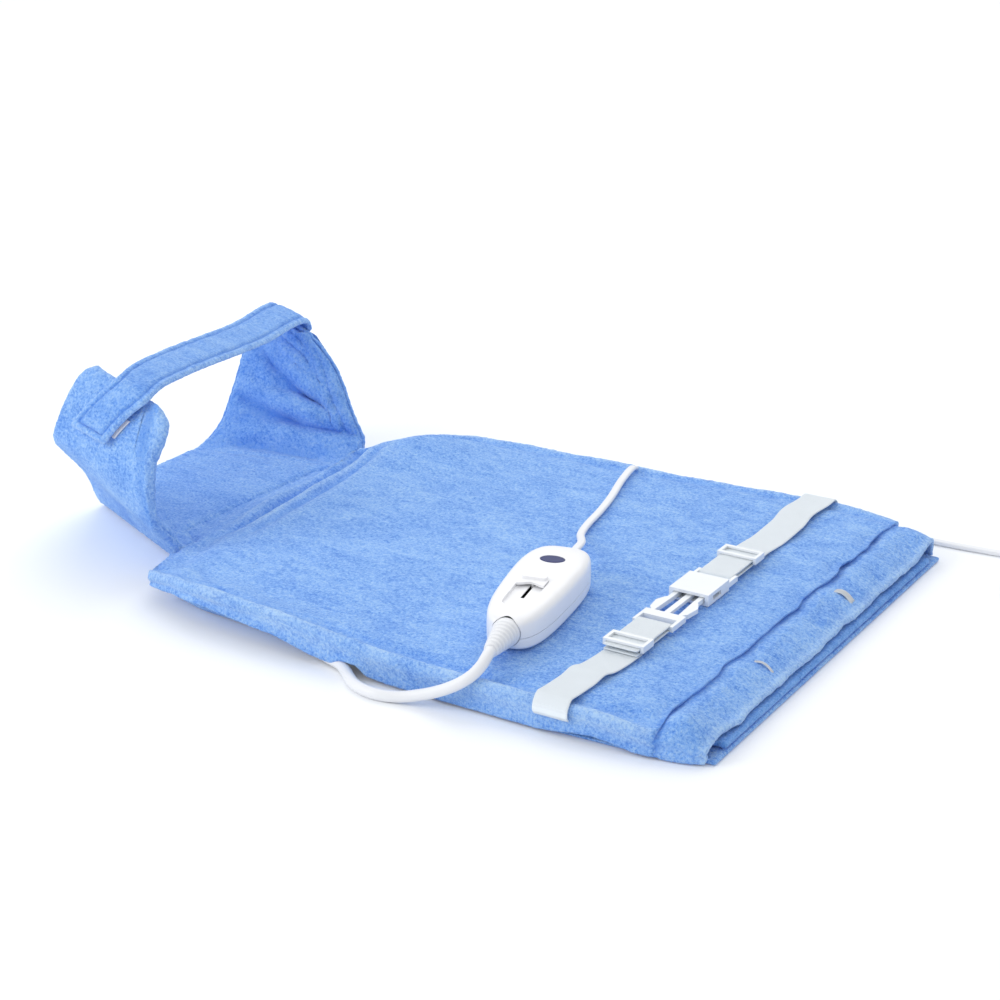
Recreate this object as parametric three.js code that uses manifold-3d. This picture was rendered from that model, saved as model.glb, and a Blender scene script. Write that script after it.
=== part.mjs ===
// Heating pad for back and neck with a hand controller, lying open side up.
// Millimetres, +Z up, floor at z = 0. +X points to the foot hem, -Y to the side with the pad lead.
import * as THREE from 'three';
import { mergeVertices } from 'three/addons/utils/BufferGeometryUtils.js';
import Module from 'manifold-3d';

const wasm = await Module();
wasm.setup();

// Gaps and cuts
const seatGap = 0.3;          // between rigid pieces that seat on each other
const fabricGap = 0.4;        // between sewn or stacked layers
const cutOverrun = 1;         // how far a cut runs past the face that it opens
const half = 0.5;             // share of a size

// Pad outline
const neckLineX = -171;
const padLength = 473;
const padHalfWidth = 205;
const nearEdgeShares = [
  [0, 0.717], [0.023, 0.854], [0.122, 0.961], [0.25, 0.985], [0.5, 1], [0.79, 1.01], [0.92, 1], [1, 0.955],
];
const farEdgeShares = [
  [0, 0.576], [0.078, 0.712], [0.128, 0.839], [0.16, 0.912], [0.254, 0.95],
  [0.5, 0.96], [0.79, 1.01], [0.92, 1], [1, 0.965],
];
const footX = neckLineX + padLength;

// Pad layers, from the floor up
const coverFabric = 3;
const caseFabric = 1;
const lowerWadding = 5;
const heaterSheet = 1;
const wireDiameter = 2.4;
const upperWadding = 6;
const insertBaseZ = coverFabric + fabricGap;
const lowerWaddingZ = insertBaseZ + caseFabric + fabricGap;
const heaterSheetZ = lowerWaddingZ + lowerWadding + fabricGap;
const wireZ = heaterSheetZ + heaterSheet + seatGap;
const upperWaddingZ = wireZ + wireDiameter + fabricGap;
const caseTopZ = upperWaddingZ + upperWadding + fabricGap;
const coverTopZ = caseTopZ + caseFabric + fabricGap;
const padTopZ = coverTopZ + coverFabric;

// Cover shape
const rimRun = 20;            // width of the rounded rim along both sides
const rimRise = 6;            // height of the side seam above the floor
const seamZ = rimRise + coverFabric + fabricGap;
const neckRun = 46;           // length over which the pad thins to the neck
const neckRiseShare = 0.35;
const creaseHeight = 2.2;     // folds that cross the pad at the neck
const creasePitch = 26;
const creaseRun = 70;
const hemBand = 32;           // width of the stitched foot hem
const hemThickness = 6;
const mouthHeight = 6.2;      // open height of the foot opening
const lowerHemReach = 7;      // how far the lower layer shows past the hem
const lowerHemBand = 29;
const lowerHemInset = 24;

// Insert
const insertInset = 26;
const insertNeckInset = 54;
const insertFootInset = 52;
const insertFootX = footX - insertFootInset;
const wireRuns = 10;
const wireEdgeInset = 35;     // from the insert's long edges to the outer runs
const wireNeckInset = 22;
const wireFootInset = 15;
const entryLength = 26;
const entryWidth = 18;
const entryHeight = 9.2;
const entryX = 6;
const entryReach = 5;         // how far the entry block stands out of the insert's edge
const entryZ = insertBaseZ + caseFabric + fabricGap;
const entryClearance = 0.6;
const slitStart = 10;         // slit of the lower cover, from the entry block's middle
const slitLength = 58;
const slitDepth = 21.5;
const thermostatLength = 20;
const thermostatWidth = 9;
const thermostatHeight = 2.4;
const thermostatShares = [0.35, 0.713];  // along the wire's runs
const crimpDiameter = 2.8;
const crimpLength = 10;

// Collar
const collarDepth = 136.6;
const collarThickness = 14;
const collarHalfWidth = 150;
const collarHeight = 145;
const wingThickness = 11;
const wingRimShare = 0.6;
const collarHeadX = neckLineX - collarDepth;
const collarNeckX = neckLineX - fabricGap;
const nearBaseHead = 30;      // half widths of the collar's base, measured from the pad's middle line
const nearBaseNeck = 96;
const farBaseHead = 58;
const farBaseNeck = 90;

// Collar strap with its hook and loop fastener
const strapWidth = 38;
const strapThickness = 4;
const strapTilt = 10;         // drop of the strap's neck-side edge
const patchThickness = 0.9;
const patchMargin = 3;

// Belt
const beltX = 205;
const webbingWidth = 25;
const webbingThickness = 1.3;
const webbingClearance = 0.35;
const loopGap = 2;            // free space between the two layers of a webbing loop
const beltBaseZ = padTopZ + fabricGap;
const runZ = beltBaseZ + webbingThickness * half;
const loopLowerZ = runZ + webbingThickness + fabricGap;
const loopUpperZ = loopLowerZ + webbingThickness + loopGap;
const loopMidZ = (loopLowerZ + loopUpperZ) * half;
const barThickness = loopGap - webbingClearance * 2;

// Side-release buckle
const buckleRail = 2.4;       // side rail beside the webbing's slot
const buckleHeight = 8.6;
const frameThickness = 4;
const slotClearance = 0.6;
const webbingSlotHalf = webbingWidth * half + slotClearance;
const frameSide = webbingSlotHalf + buckleRail;
const slotLength = 8;
const barLength = 3.4;
const maleBarY = -79;
const maleBodyLength = 9;
const maleTipY = -9;
const mouthY = -24;
const femaleBlockEndY = 9;
const femaleEndY = 23;
const cavityWall = 3.1;
const cavityHalf = frameSide - cavityWall;
const cavityHeight = 4.6;
const cavityEndY = 5;
const windowStartY = -17;
const windowEndY = -4;
const windowHeight = 3.4;
const prongHalf = 2.2;
const prongHeight = 2.6;
const armThickness = 2.4;
const armHeight = 3.4;
const armClearance = 0.7;
const armRootX = cavityHalf - armClearance - armThickness;
const armTipY = -8;
const lobeReach = 6.2;
const armGap = 0.4;

// Tri-glides
const glideLength = 15;
const glideBar = 3;
const glideBarHeight = 1.6;
const nearGlideY = -114;
const farGlideY = 60;

// Controller
const shellLength = 135;
const shellWidth = 52;
const shellHeight = 28;
const shellWall = 2;
const shellRound = 8;
const shellCorner = 20;
const shellBarrel = 1.6;
const splitHeight = 11;
const controllerX = 123;
const controllerY = -94;
const controllerTurnDegrees = 101.3;
const recessLength = 39;
const recessWidth = 21;
const recessDepth = 1.2;
const recessStart = -1.5;
const knobLength = 15;
const knobTravel = 21;
const knobPlate = 2.4;
const knobRidge = 1.6;
const knobClearance = 0.5;
const slotWidth = 2.6;
const stemWidth = 1.8;
const stemLength = 5;
const lensCentre = 32;
const lensLength = 13;
const lensWidth = 18;
const lensDepth = 1.6;
const boardLength = 84;
const boardWidth = 34;
const boardThickness = 1.6;
const boardZ = 8;
const switchLength = 30;
const switchWidth = 12;
const switchHeight = 6;
const postRadius = 3;
const screwPostRadius = 4.8;
const screwRadius = 1.5;
const screwHeadRadius = 2.8;
const screwHeadHeight = 2;
const screwLength = 9;
const screwOffset = 50;

// Strain reliefs
const leadReliefLength = 28;
const leadReliefRoot = 11;
const leadReliefTip = 5.2;
const leadReliefPlug = 8.4;
const leadReliefRibs = 7;
const ribDepth = 1.1;
const mainsReliefLength = 12;
const mainsReliefRoot = 5;
const mainsReliefTip = 3.6;
const mainsReliefPlug = 4;
const reliefInset = 4;

// Cords
const leadDiameter = 8;
const mainsWidth = 6.2;
const mainsThickness = 3.8;
const floorLift = 0.1;
const cordSides = 8;

// Facets of small round pieces
const smallSides = 12;
const lensSides = 20;
const domeSteps = 3;

// Coil and plug of the mains cord
const coilX = 418;
const coilY = 187;
const coilMeanRadius = 34;
const coilPitch = 6.8;
const coilLayers = 4;
const coilTurns = 7.25;
const coilStepsPerTurn = 24;
const coilLayerRise = 4.3;
const plugLength = 36;
const plugWidth = 35;
const plugHeight = 14;
const plugNose = 14;
const pinDiameter = 4;
const pinLength = 19;
const pinSpacing = 19;
const tieWidth = 8;
const tieThickness = 1;
const tieClearance = 0.4;
const tieAngleDegrees = -145;

// Materials
function finish(color, roughness, metalness = 0) {
  return new THREE.MeshStandardMaterial({ color, roughness, metalness });
}
const plush = finish(0x70a2ef, 0.95);
const plushInside = finish(0x3e74cc, 0.95);
const lining = finish(0xe9edf2, 0.9);
const webbingWhite = finish(0xe2ecf2, 0.8);
const buckleWhite = finish(0xeaf2f6, 0.4);
const shellWhite = finish(0xedecf2, 0.32);
const knobWhite = finish(0xf2f1f5, 0.35);
const lensBlue = finish(0x35408c, 0.25);
const boardGreen = finish(0x2f6b45, 0.6);
const darkPart = finish(0x33363b, 0.5);
const cordWhite = finish(0xeef0f4, 0.45);
const wireRed = finish(0xb8433a, 0.6);
const steel = finish(0xb9bcc0, 0.3, 1);
const threadWhite = finish(0xf4f6f8, 0.9);

const pad = new THREE.Group();

function addMesh(name, geometry, material, parent = pad) {
  const mesh = new THREE.Mesh(geometry, material);
  mesh.name = name;
  parent.add(mesh);
  return mesh;
}

// Solids and booleans
function solidOf(geometry) {
  const bare = geometry.clone();
  bare.deleteAttribute('normal');
  bare.deleteAttribute('uv');
  const merged = mergeVertices(bare);
  const vertProperties = new Float32Array(merged.attributes.position.array);
  const triVerts = new Uint32Array(merged.index.array);
  return new wasm.Manifold(new wasm.Mesh({ numProp: 3, vertProperties, triVerts }));
}

function geometryOf(solid) {
  const mesh = solid.getMesh();
  const geometry = new THREE.BufferGeometry();
  geometry.setAttribute('position', new THREE.BufferAttribute(mesh.vertProperties, 3));
  geometry.setIndex(new THREE.BufferAttribute(mesh.triVerts, 1));
  geometry.computeVertexNormals();
  return geometry;
}

function boxSolid(lowX, highX, lowY, highY, lowZ, highZ) {
  const geometry = new THREE.BoxGeometry(highX - lowX, highY - lowY, highZ - lowZ);
  geometry.translate((lowX + highX) * half, (lowY + highY) * half, (lowZ + highZ) * half);
  return solidOf(geometry);
}

function joined(...solids) {
  return solids.reduce((whole, piece) => whole.add(piece));
}

function cut(solid, ...tools) {
  return tools.reduce((rest, tool) => rest.subtract(tool), solid);
}

// A box whose grid of points is moved to a place worked out from its three shares.
function shapedSlab(columns, rows, place) {
  const geometry = new THREE.BoxGeometry(1, 1, 1, columns, rows, 1);
  const position = geometry.attributes.position;
  for (let i = 0; i < position.count; i += 1) {
    const point = place(position.getX(i) + half, position.getY(i) + half, position.getZ(i) + half);
    position.setXYZ(i, point.x, point.y, point.z);
  }
  geometry.deleteAttribute('normal');
  geometry.deleteAttribute('uv');
  const merged = mergeVertices(geometry);
  merged.computeVertexNormals();
  return merged;
}

// A path whose sections stand exactly at its points and keep their flat side along a chosen direction.
class StationPath extends THREE.CatmullRomCurve3 {
  constructor(points, sideAt) {
    super(points);
    this.sideAt = sideAt;
  }

  getUtoTmapping(share) {
    return share;
  }

  computeFrenetFrames(segments) {
    const tangents = [];
    const normals = [];
    const binormals = [];
    for (let i = 0; i <= segments; i += 1) {
      const tangent = this.getTangent(i / segments);
      const side = this.sideAt(tangent, i / segments).normalize();
      const normal = side.clone().cross(tangent).normalize();
      tangents.push(tangent);
      normals.push(normal);
      binormals.push(tangent.clone().cross(normal));
    }
    return { tangents, normals, binormals };
  }
}

const headingSide = (tangent) => new THREE.Vector3(-tangent.y, tangent.x, 0);
const acrossBelt = () => new THREE.Vector3(1, 0, 0);

function flatSection(width, thickness, sides) {
  const points = [];
  for (let i = 0; i < sides; i += 1) {
    const angle = (i + half) / sides * Math.PI * 2;
    points.push(new THREE.Vector2(Math.cos(angle) * thickness * half, Math.sin(angle) * width * half));
  }
  return new THREE.Shape(points);
}

function stripSection(width, thickness) {
  const shape = new THREE.Shape();
  shape.moveTo(-thickness * half, -width * half);
  shape.lineTo(thickness * half, -width * half);
  shape.lineTo(thickness * half, width * half);
  shape.lineTo(-thickness * half, width * half);
  shape.closePath();
  return shape;
}

// Sweeps a section along points; each span between two points is split into a number of steps.
function sweep(section, points, sideAt, stepsPerSpan = 1) {
  const coarse = new THREE.CatmullRomCurve3(points);
  const count = (points.length - 1) * stepsPerSpan;
  const stations = [];
  for (let i = 0; i <= count; i += 1) {
    stations.push(coarse.getPoint(i / count));
  }
  const extrudePath = new StationPath(stations, sideAt);
  return new THREE.ExtrudeGeometry(section, { steps: count, extrudePath, bevelEnabled: false });
}

function vectors(rows) {
  return rows.map(([x, y, z]) => new THREE.Vector3(x, y, z));
}

// Pad outline and heights
function edgeShare(shares, share) {
  for (let i = 1; i < shares.length; i += 1) {
    const [start, low] = shares[i - 1];
    const [end, high] = shares[i];
    if (share <= end) {
      return low + (high - low) * (share - start) / (end - start);
    }
  }
  return shares[shares.length - 1][1];
}

function nearEdge(x) {
  return -padHalfWidth * edgeShare(nearEdgeShares, Math.max((x - neckLineX) / padLength, 0));
}

function farEdge(x) {
  return padHalfWidth * edgeShare(farEdgeShares, Math.max((x - neckLineX) / padLength, 0));
}

function smooth(share) {
  const bounded = Math.min(Math.max(share, 0), 1);
  return bounded * bounded * (3 - 2 * bounded);
}

function rimShare(x, y) {
  const depth = Math.min(y - nearEdge(x), farEdge(x) - y);
  const left = 1 - Math.min(Math.max(depth / rimRun, 0), 1);
  return Math.sqrt(1 - left * left);
}

function crease(x, y) {
  const fade = smooth(1 - (x - neckLineX) / creaseRun);
  const wave = Math.cos((x - neckLineX + y * half * half) / creasePitch * Math.PI * 2);
  return creaseHeight * fade * (1 + wave) * half;
}

function coverUnderside(x, y) {
  const neck = neckRiseShare + (1 - neckRiseShare) * smooth((x - neckLineX) / neckRun);
  const hemStartX = footX - hemBand;
  const foot = smooth((hemStartX - x) / hemBand + 1);
  const hemZ = lowerHemTopZ + mouthHeight + hemThickness - coverFabric;
  const fullZ = seamZ + (coverTopZ - seamZ) * neck;
  const middleZ = x < insertFootX ? fullZ : hemZ + (fullZ - hemZ) * foot;
  const rim = rimShare(x, y);
  return seamZ + (middleZ - seamZ) * rim + crease(x, y) * rim;
}

function across(v) {
  return (1 - Math.cos(v * Math.PI)) * half;
}

const lowerHemTopZ = coverFabric + fabricGap + coverFabric;

function panel(startX, endX, columns, rows, lowerZ, thicknessAt) {
  return shapedSlab(columns, rows, (u, v, w) => {
    const x = startX + (endX - startX) * u;
    const y = nearEdge(x) + (farEdge(x) - nearEdge(x)) * across(v);
    return new THREE.Vector3(x, y, lowerZ(x, y) + thicknessAt(x, y) * w);
  });
}

// Plush cover: upper panel, hem, lower panel with the lead slit, lower hem
const hemStartX = footX - hemBand;
const coverTopColumns = 24;
const coverRows = 18;
const coverDepth = () => coverFabric;
const topPanel = panel(neckLineX, hemStartX, coverTopColumns, coverRows, coverUnderside, coverDepth);
addMesh('cover_top', topPanel, plush);

function hemUnderside(x, y) {
  const share = (x - hemStartX) / hemBand;
  const startZ = coverUnderside(hemStartX, y) + coverFabric - hemThickness;
  const endZ = seamZ + (lowerHemTopZ + mouthHeight - seamZ) * rimShare(hemStartX, y);
  return Math.max(startZ + (endZ - startZ) * share, seamZ);
}
const hemColumns = 3;
const hemLowShare = 0.5;
function hemDepth(x, y) {
  return hemThickness * (hemLowShare + (1 - hemLowShare) * rimShare(x, y));
}
const topHem = panel(hemStartX + fabricGap, footX, hemColumns, coverRows, hemUnderside, hemDepth);
addMesh('cover_top_hem', topHem, plush);

function coverBottomUnderside(x, y) {
  return rimRise * (1 - rimShare(x, y));
}
const coverBottomColumns = 12;
const coverBottomRows = 14;
const lowerPanel = solidOf(panel(
  neckLineX, footX + lowerHemReach, coverBottomColumns, coverBottomRows, coverBottomUnderside, coverDepth,
));
const slitStartX = entryX - slitStart;
const slitEndX = slitStartX + slitLength;
const slitY = nearEdge(entryX) + slitDepth;
const leadSlit = boxSolid(slitStartX, slitEndX, -padHalfWidth * 2, slitY, -cutOverrun, seamZ);
addMesh('cover_bottom', geometryOf(cut(lowerPanel, leadSlit)), plush);

function insetSlab(startX, endX, inset, baseZ, thickness, columns) {
  return shapedSlab(columns, 1, (u, v, w) => {
    const x = startX + (endX - startX) * u;
    const lowY = nearEdge(x) + inset;
    const highY = farEdge(x) - inset;
    return new THREE.Vector3(x, lowY + (highY - lowY) * v, baseZ + thickness * w);
  });
}
const lowerHemStartX = footX + lowerHemReach - lowerHemBand;
const lowerHemColumns = 3;
addMesh('cover_bottom_hem', insetSlab(lowerHemStartX, footX + lowerHemReach - fabricGap, lowerHemInset,
  coverFabric + fabricGap, coverFabric, lowerHemColumns), plushInside);

// Thread tacks through the foot hem, running with the slope of its upper face
const tackLength = 14;
const tackWidth = 3;
const tackHeight = 1.6;
const tackInset = 9;
const tackSides = 8;
const tackX = footX - tackInset;
const tackYShares = { bar_tack_near: -0.385, bar_tack_far: 0.268 };
for (const [name, share] of Object.entries(tackYShares)) {
  const y = padHalfWidth * share;
  const fall = hemUnderside(tackX - tackLength * half, y) - hemUnderside(tackX + tackLength * half, y);
  const tack = new THREE.CapsuleGeometry(tackWidth * half, tackLength - tackWidth, domeSteps, tackSides);
  tack.rotateZ(Math.PI * half);
  tack.scale(1, 1, tackHeight / tackWidth);
  tack.rotateY(Math.atan2(fall, tackLength));
  tack.translate(tackX, y, hemUnderside(tackX, y) + hemThickness + fabricGap + tackHeight * half);
  addMesh(name, tack, threadWhite);
}

// Heating insert inside the cover
const insertStartX = neckLineX + insertNeckInset;
const insertColumns = 12;
const entryY = nearEdge(entryX) + insertInset + entryWidth * half - entryReach;
const entryPocket = boxSolid(
  entryX - entryLength * half - entryClearance, entryX + entryLength * half + entryClearance,
  -padHalfWidth, entryY + entryWidth * half + entryClearance,
  entryZ - entryClearance, entryZ + entryHeight + entryClearance,
);
function insertSlab(baseZ, thickness) {
  return insetSlab(insertStartX, insertFootX, insertInset, baseZ, thickness, insertColumns);
}
function insertLayer(name, baseZ, thickness, material) {
  addMesh(name, geometryOf(cut(solidOf(insertSlab(baseZ, thickness)), entryPocket)), material);
}
addMesh('insert_case_bottom', insertSlab(insertBaseZ, caseFabric), lining);
insertLayer('wadding_bottom', lowerWaddingZ, lowerWadding, lining);
insertLayer('heater_sheet', heaterSheetZ, heaterSheet, lining);
insertLayer('wadding_top', upperWaddingZ, upperWadding, lining);
addMesh('insert_case_top', insertSlab(caseTopZ, caseFabric), lining);
addMesh('lead_entry_block', geometryOf(boxSolid(
  entryX - entryLength * half, entryX + entryLength * half,
  entryY - entryWidth * half, entryY + entryWidth * half,
  entryZ, entryZ + entryHeight,
)), cordWhite);

// Heating wire: one unbroken two-core wire laid in runs along the pad
const wireCentreZ = wireZ + wireDiameter * half;
const firstRunY = insertInset + wireEdgeInset - padHalfWidth;
const wirePitch = -firstRunY * 2 / (wireRuns - 1);
const wireStartX = insertStartX + wireNeckInset;
const wireEndX = insertFootX - wireFootInset;
const turnRadius = wirePitch * half;
const wireFirstX = entryX + turnRadius;
const wirePoints = [
  [entryX, entryY + entryWidth * half + entryClearance, wireCentreZ],
  [entryX + turnRadius * half * half, firstRunY - turnRadius * half * half, wireCentreZ],
  [wireFirstX, firstRunY, wireCentreZ],
];
const quarterTurns = [-1, 0, 1];
for (let run = 0; run < wireRuns; run += 1) {
  const y = firstRunY + run * wirePitch;
  const forward = run % 2 === 0;
  const farX = forward ? wireEndX - turnRadius : wireStartX + turnRadius;
  wirePoints.push([farX, y, wireCentreZ]);
  if (run < wireRuns - 1) {
    for (const quarter of quarterTurns) {
      const angle = quarter * Math.PI * half * half;
      const reach = turnRadius * Math.cos(angle) * (forward ? 1 : -1);
      wirePoints.push([farX + reach, y + turnRadius + turnRadius * Math.sin(angle), wireCentreZ]);
    }
    wirePoints.push([farX, y + wirePitch, wireCentreZ]);
  }
}
const wireSides = 6;
const wireSection = flatSection(wireDiameter, wireDiameter, wireSides);
addMesh('heating_wire', sweep(wireSection, vectors(wirePoints), headingSide), wireRed);
const lastWirePoint = wirePoints[wirePoints.length - 1];
const crimp = new THREE.CylinderGeometry(crimpDiameter * half, crimpDiameter * half, crimpLength, cordSides);
crimp.rotateZ(Math.PI * half);
crimp.translate(lastWirePoint[0] - crimpLength * half - seatGap, lastWirePoint[1], wireCentreZ);
addMesh('wire_end_crimp', crimp, steel);
thermostatShares.forEach((share, index) => {
  const x = wireStartX + (wireEndX - wireStartX) * share;
  const y = wirePitch * (index === 0 ? -2 : 2);
  addMesh(`thermostat_${index + 1}`, geometryOf(boxSolid(
    x - thermostatLength * half, x + thermostatLength * half,
    y - thermostatWidth * half, y + thermostatWidth * half,
    wireZ, wireZ + thermostatHeight,
  )), darkPart);
});

// Collar: a padded sheet between its head-side edge and its neck-side edge
function sheetSurface(headEdge, neckEdge) {
  const head = new THREE.CatmullRomCurve3(headEdge);
  const neck = new THREE.CatmullRomCurve3(neckEdge);
  const probeShare = 0.01;
  const pointAt = (u, v) => head.getPoint(v).lerp(neck.getPoint(v), u);
  return (u, v, offset) => {
    const alongX = pointAt(Math.min(u + probeShare, 1), v).sub(pointAt(Math.max(u - probeShare, 0), v));
    const alongV = pointAt(u, Math.min(v + probeShare, 1)).sub(pointAt(u, Math.max(v - probeShare, 0)));
    return pointAt(u, v).addScaledVector(alongX.cross(alongV).normalize(), offset);
  };
}
function paddedSheet(surface, columns, rows, thicknessAt) {
  return shapedSlab(columns, rows, (u, v, w) => surface(u, v, (w - half) * thicknessAt(u, v)));
}

const baseMidZ = collarThickness * half;
const baseColumns = 6;
const baseRows = 4;
const baseSurface = sheetSurface(
  vectors([[collarHeadX, -nearBaseHead, baseMidZ], [collarHeadX, farBaseHead, baseMidZ]]),
  vectors([[collarNeckX, -nearBaseNeck, baseMidZ], [collarNeckX, farBaseNeck, baseMidZ]]),
);
addMesh('collar_base', paddedSheet(baseSurface, baseColumns, baseRows, () => collarThickness), plush);

const wingRootShare = 0.25;   // part of the wing's height over which it thins to its own thickness
const wingRimRun = 0.17;      // part of the wing's width taken by its rounded rim
function wingDepth(u, v) {
  const rim = Math.min(u, 1 - u, 1 - v) / wingRimRun;
  const root = Math.min(v / wingRootShare, 1);
  const full = collarThickness + (wingThickness - collarThickness) * root;
  const share = wingRimShare + (1 - wingRimShare) * Math.min(rim, 1);
  return full * (share * root + 1 - root);
}
const wingSetback = 4;        // between the wing's neck-side edge and the neck line
const wingStart = 14;         // level run of a wing beside the collar base
const wingRise = 0.5;         // height of a wing's start over the collar base's middle layer
const wingColumns = 7;
const wingRows = 10;
const leftHeadShares = [
  [0.988, -0.4, 0.25], [0.925, -0.647, 0.497], [0.821, -0.807, 0.634],
  [0.756, -0.733, 0.841], [0.69, -0.647, 0.986],
];
const leftNeckShares = [
  [0, -0.827, 0.193], [0, -0.93, 0.31], [0, -0.947, 0.538], [0, -0.893, 0.731], [0.045, -0.793, 0.869],
];
const rightHeadShares = [
  [0.93, 0.633, 0.166], [0.916, 0.767, 0.359], [0.923, 0.887, 0.552], [0.945, 0.987, 0.745],
];
const rightNeckShares = [
  [0, 0.88, 0.15], [0.124, 0.907, 0.29], [0.298, 0.98, 0.524], [0.523, 0.993, 0.731],
];
function collarPoint([depthShare, sideShare, heightShare], setback = 0) {
  const x = neckLineX - Math.max(collarDepth * depthShare, setback);
  return new THREE.Vector3(x, collarHalfWidth * sideShare, collarHeight * heightShare);
}
function wingEdge(x, startY, side, shares, setback) {
  return [
    new THREE.Vector3(x, side * (startY + fabricGap), baseMidZ + wingRise),
    new THREE.Vector3(x, side * (startY + wingStart), baseMidZ + wingRise),
    ...shares.map((row) => collarPoint(row, setback)),
  ];
}
const leftSurface = sheetSurface(
  wingEdge(collarNeckX, nearBaseNeck, -1, leftNeckShares, wingSetback),
  wingEdge(collarHeadX, nearBaseHead, -1, leftHeadShares, 0),
);
const rightSurface = sheetSurface(
  wingEdge(collarHeadX, farBaseHead, 1, rightHeadShares, 0),
  wingEdge(collarNeckX, farBaseNeck, 1, rightNeckShares, wingSetback),
);
addMesh('collar_left_wing', paddedSheet(leftSurface, wingColumns, wingRows, wingDepth), plush);
addMesh('collar_right_wing', paddedSheet(rightSurface, wingColumns, wingRows, wingDepth), plush);

// A piece of cloth or tape lying on a wing: its rows reach half its width to both sides of a centre share
function wingRow(surface, centreShare, heightShare, width, offset) {
  const wingWidth = surface(0, heightShare, 0).distanceTo(surface(1, heightShare, 0));
  const reach = width * half / wingWidth;
  return [-reach, reach].map((aside) => surface(centreShare + aside, heightShare, offset));
}
function wingCloth(surface, centreAt, heightShares, width, offset, thickness) {
  const rows = heightShares.map((share) => wingRow(surface, centreAt(share), share, width, offset));
  const cloth = sheetSurface(rows.map((row) => row[0]), rows.map((row) => row[1]));
  return paddedSheet(cloth, clothColumns, heightShares.length * clothRowsPerShare, () => thickness);
}
const clothColumns = 2;
const clothRowsPerShare = 2;
const wingFaceOffset = -(wingThickness * half + fabricGap);

// Loop patch sewn on the outer face of the left wing and hook patch on the strap's inner face
const strapTipCentreShare = 0.36;
const strapTailShares = [0.98, 0.92, 0.86, 0.8, 0.74];
function strapCentre(heightShare) {
  return strapTipCentreShare + strapTailShares[0] - heightShare;
}
const loopPatchShares = [0.77, 0.8, 0.83, 0.86];
const loopPatchOffset = wingFaceOffset - patchThickness * half;
const loopPatchWidth = strapWidth + patchMargin;
addMesh('loop_patch', wingCloth(
  leftSurface, strapCentre, loopPatchShares, loopPatchWidth, loopPatchOffset, patchThickness,
), lining);
const hookPatchShares = [0.76, 0.8, 0.84, 0.88];
const hookPatchOffset = loopPatchOffset - patchThickness - seatGap;
const hookPatchWidth = strapWidth - patchMargin * 2;
addMesh('hook_patch', wingCloth(
  leftSurface, strapCentre, hookPatchShares, hookPatchWidth, hookPatchOffset, patchThickness,
), lining);

// Collar strap: sewn end on the right wing's outer face, free end on the left wing's outer face
const anchorCentreShare = 0.55;
const anchorShares = [0.72, 0.8, 0.88, 0.96];
const strapStartShare = 0.9625;
const anchorOffset = wingFaceOffset - strapThickness * half;
addMesh('collar_strap_anchor', wingCloth(
  rightSurface, () => anchorCentreShare, anchorShares, strapWidth, anchorOffset, strapThickness,
), plush);
const strapTailOffset = hookPatchOffset - patchThickness * half - seatGap - strapThickness * half;
const strapSewnSide = new THREE.Vector3(strapWidth, 0, -strapTilt).setLength(strapWidth * half);
const strapFreeShares = [
  [0.668, 1.046, 0.752], [0.667, 1.03, 0.786], [0.662, 0.985, 0.804], [0.652, 0.92, 0.812],
  [0.622, 0.79, 0.822], [0.566, 0.56, 0.832], [0.501, 0.28, 0.865], [0.443, 0, 0.903],
  [0.392, -0.267, 0.935], [0.349, -0.49, 0.955], [0.32, -0.64, 0.962],
];
const strapTailRows = strapTailShares.map(
  (share) => wingRow(leftSurface, strapCentre(share), share, strapWidth, strapTailOffset),
);
const tailSide = strapTailRows[0][0].clone().sub(strapTailRows[0][1]).multiplyScalar(half);
const strapStartRow = wingRow(rightSurface, anchorCentreShare, strapStartShare, strapWidth, anchorOffset);
strapStartRow.reverse();
const strapFreeRows = strapFreeShares.map((shares, index, rows) => {
  const centre = collarPoint(shares);
  const side = strapSewnSide.clone().lerp(tailSide, smooth(index / (rows.length - 1)));
  return [centre.clone().add(side), centre.clone().sub(side)];
});
const strapRows = [strapStartRow, ...strapFreeRows, ...strapTailRows];
const strapSurface = sheetSurface(strapRows.map((row) => row[0]), strapRows.map((row) => row[1]));
const strapColumns = 2;
const strapRowsPerSpan = 2;
const strapSteps = (strapRows.length - 1) * strapRowsPerSpan;
addMesh('collar_strap', paddedSheet(strapSurface, strapColumns, strapSteps, () => strapThickness), plush);

// Belt webbing: near run, near loop and far webbing
const nearSeamY = nearEdge(beltX);
const farSeamY = farEdge(beltX);
const webbingOffset = webbingThickness * half + fabricGap;
const crownDrop = 1;
const crownSteps = [
  [-webbingOffset - fabricGap, seamZ], [-webbingOffset - fabricGap, seamZ + coverFabric],
  [0, padTopZ - rimRise * half], [rimRun * half * half, padTopZ - crownDrop],
  [rimRun * half, runZ - fabricGap], [rimRun, runZ],
];
const nearRunEndY = nearGlideY - glideLength * half * half;
const webbingSection = stripSection(webbingWidth, webbingThickness);
const nearRun = crownSteps.map(([depth, z]) => [beltX, nearSeamY + depth, z]);
nearRun.push([beltX, nearRunEndY, runZ]);
addMesh('belt_webbing_near', sweep(webbingSection, vectors(nearRun), acrossBelt), webbingWhite);

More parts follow.
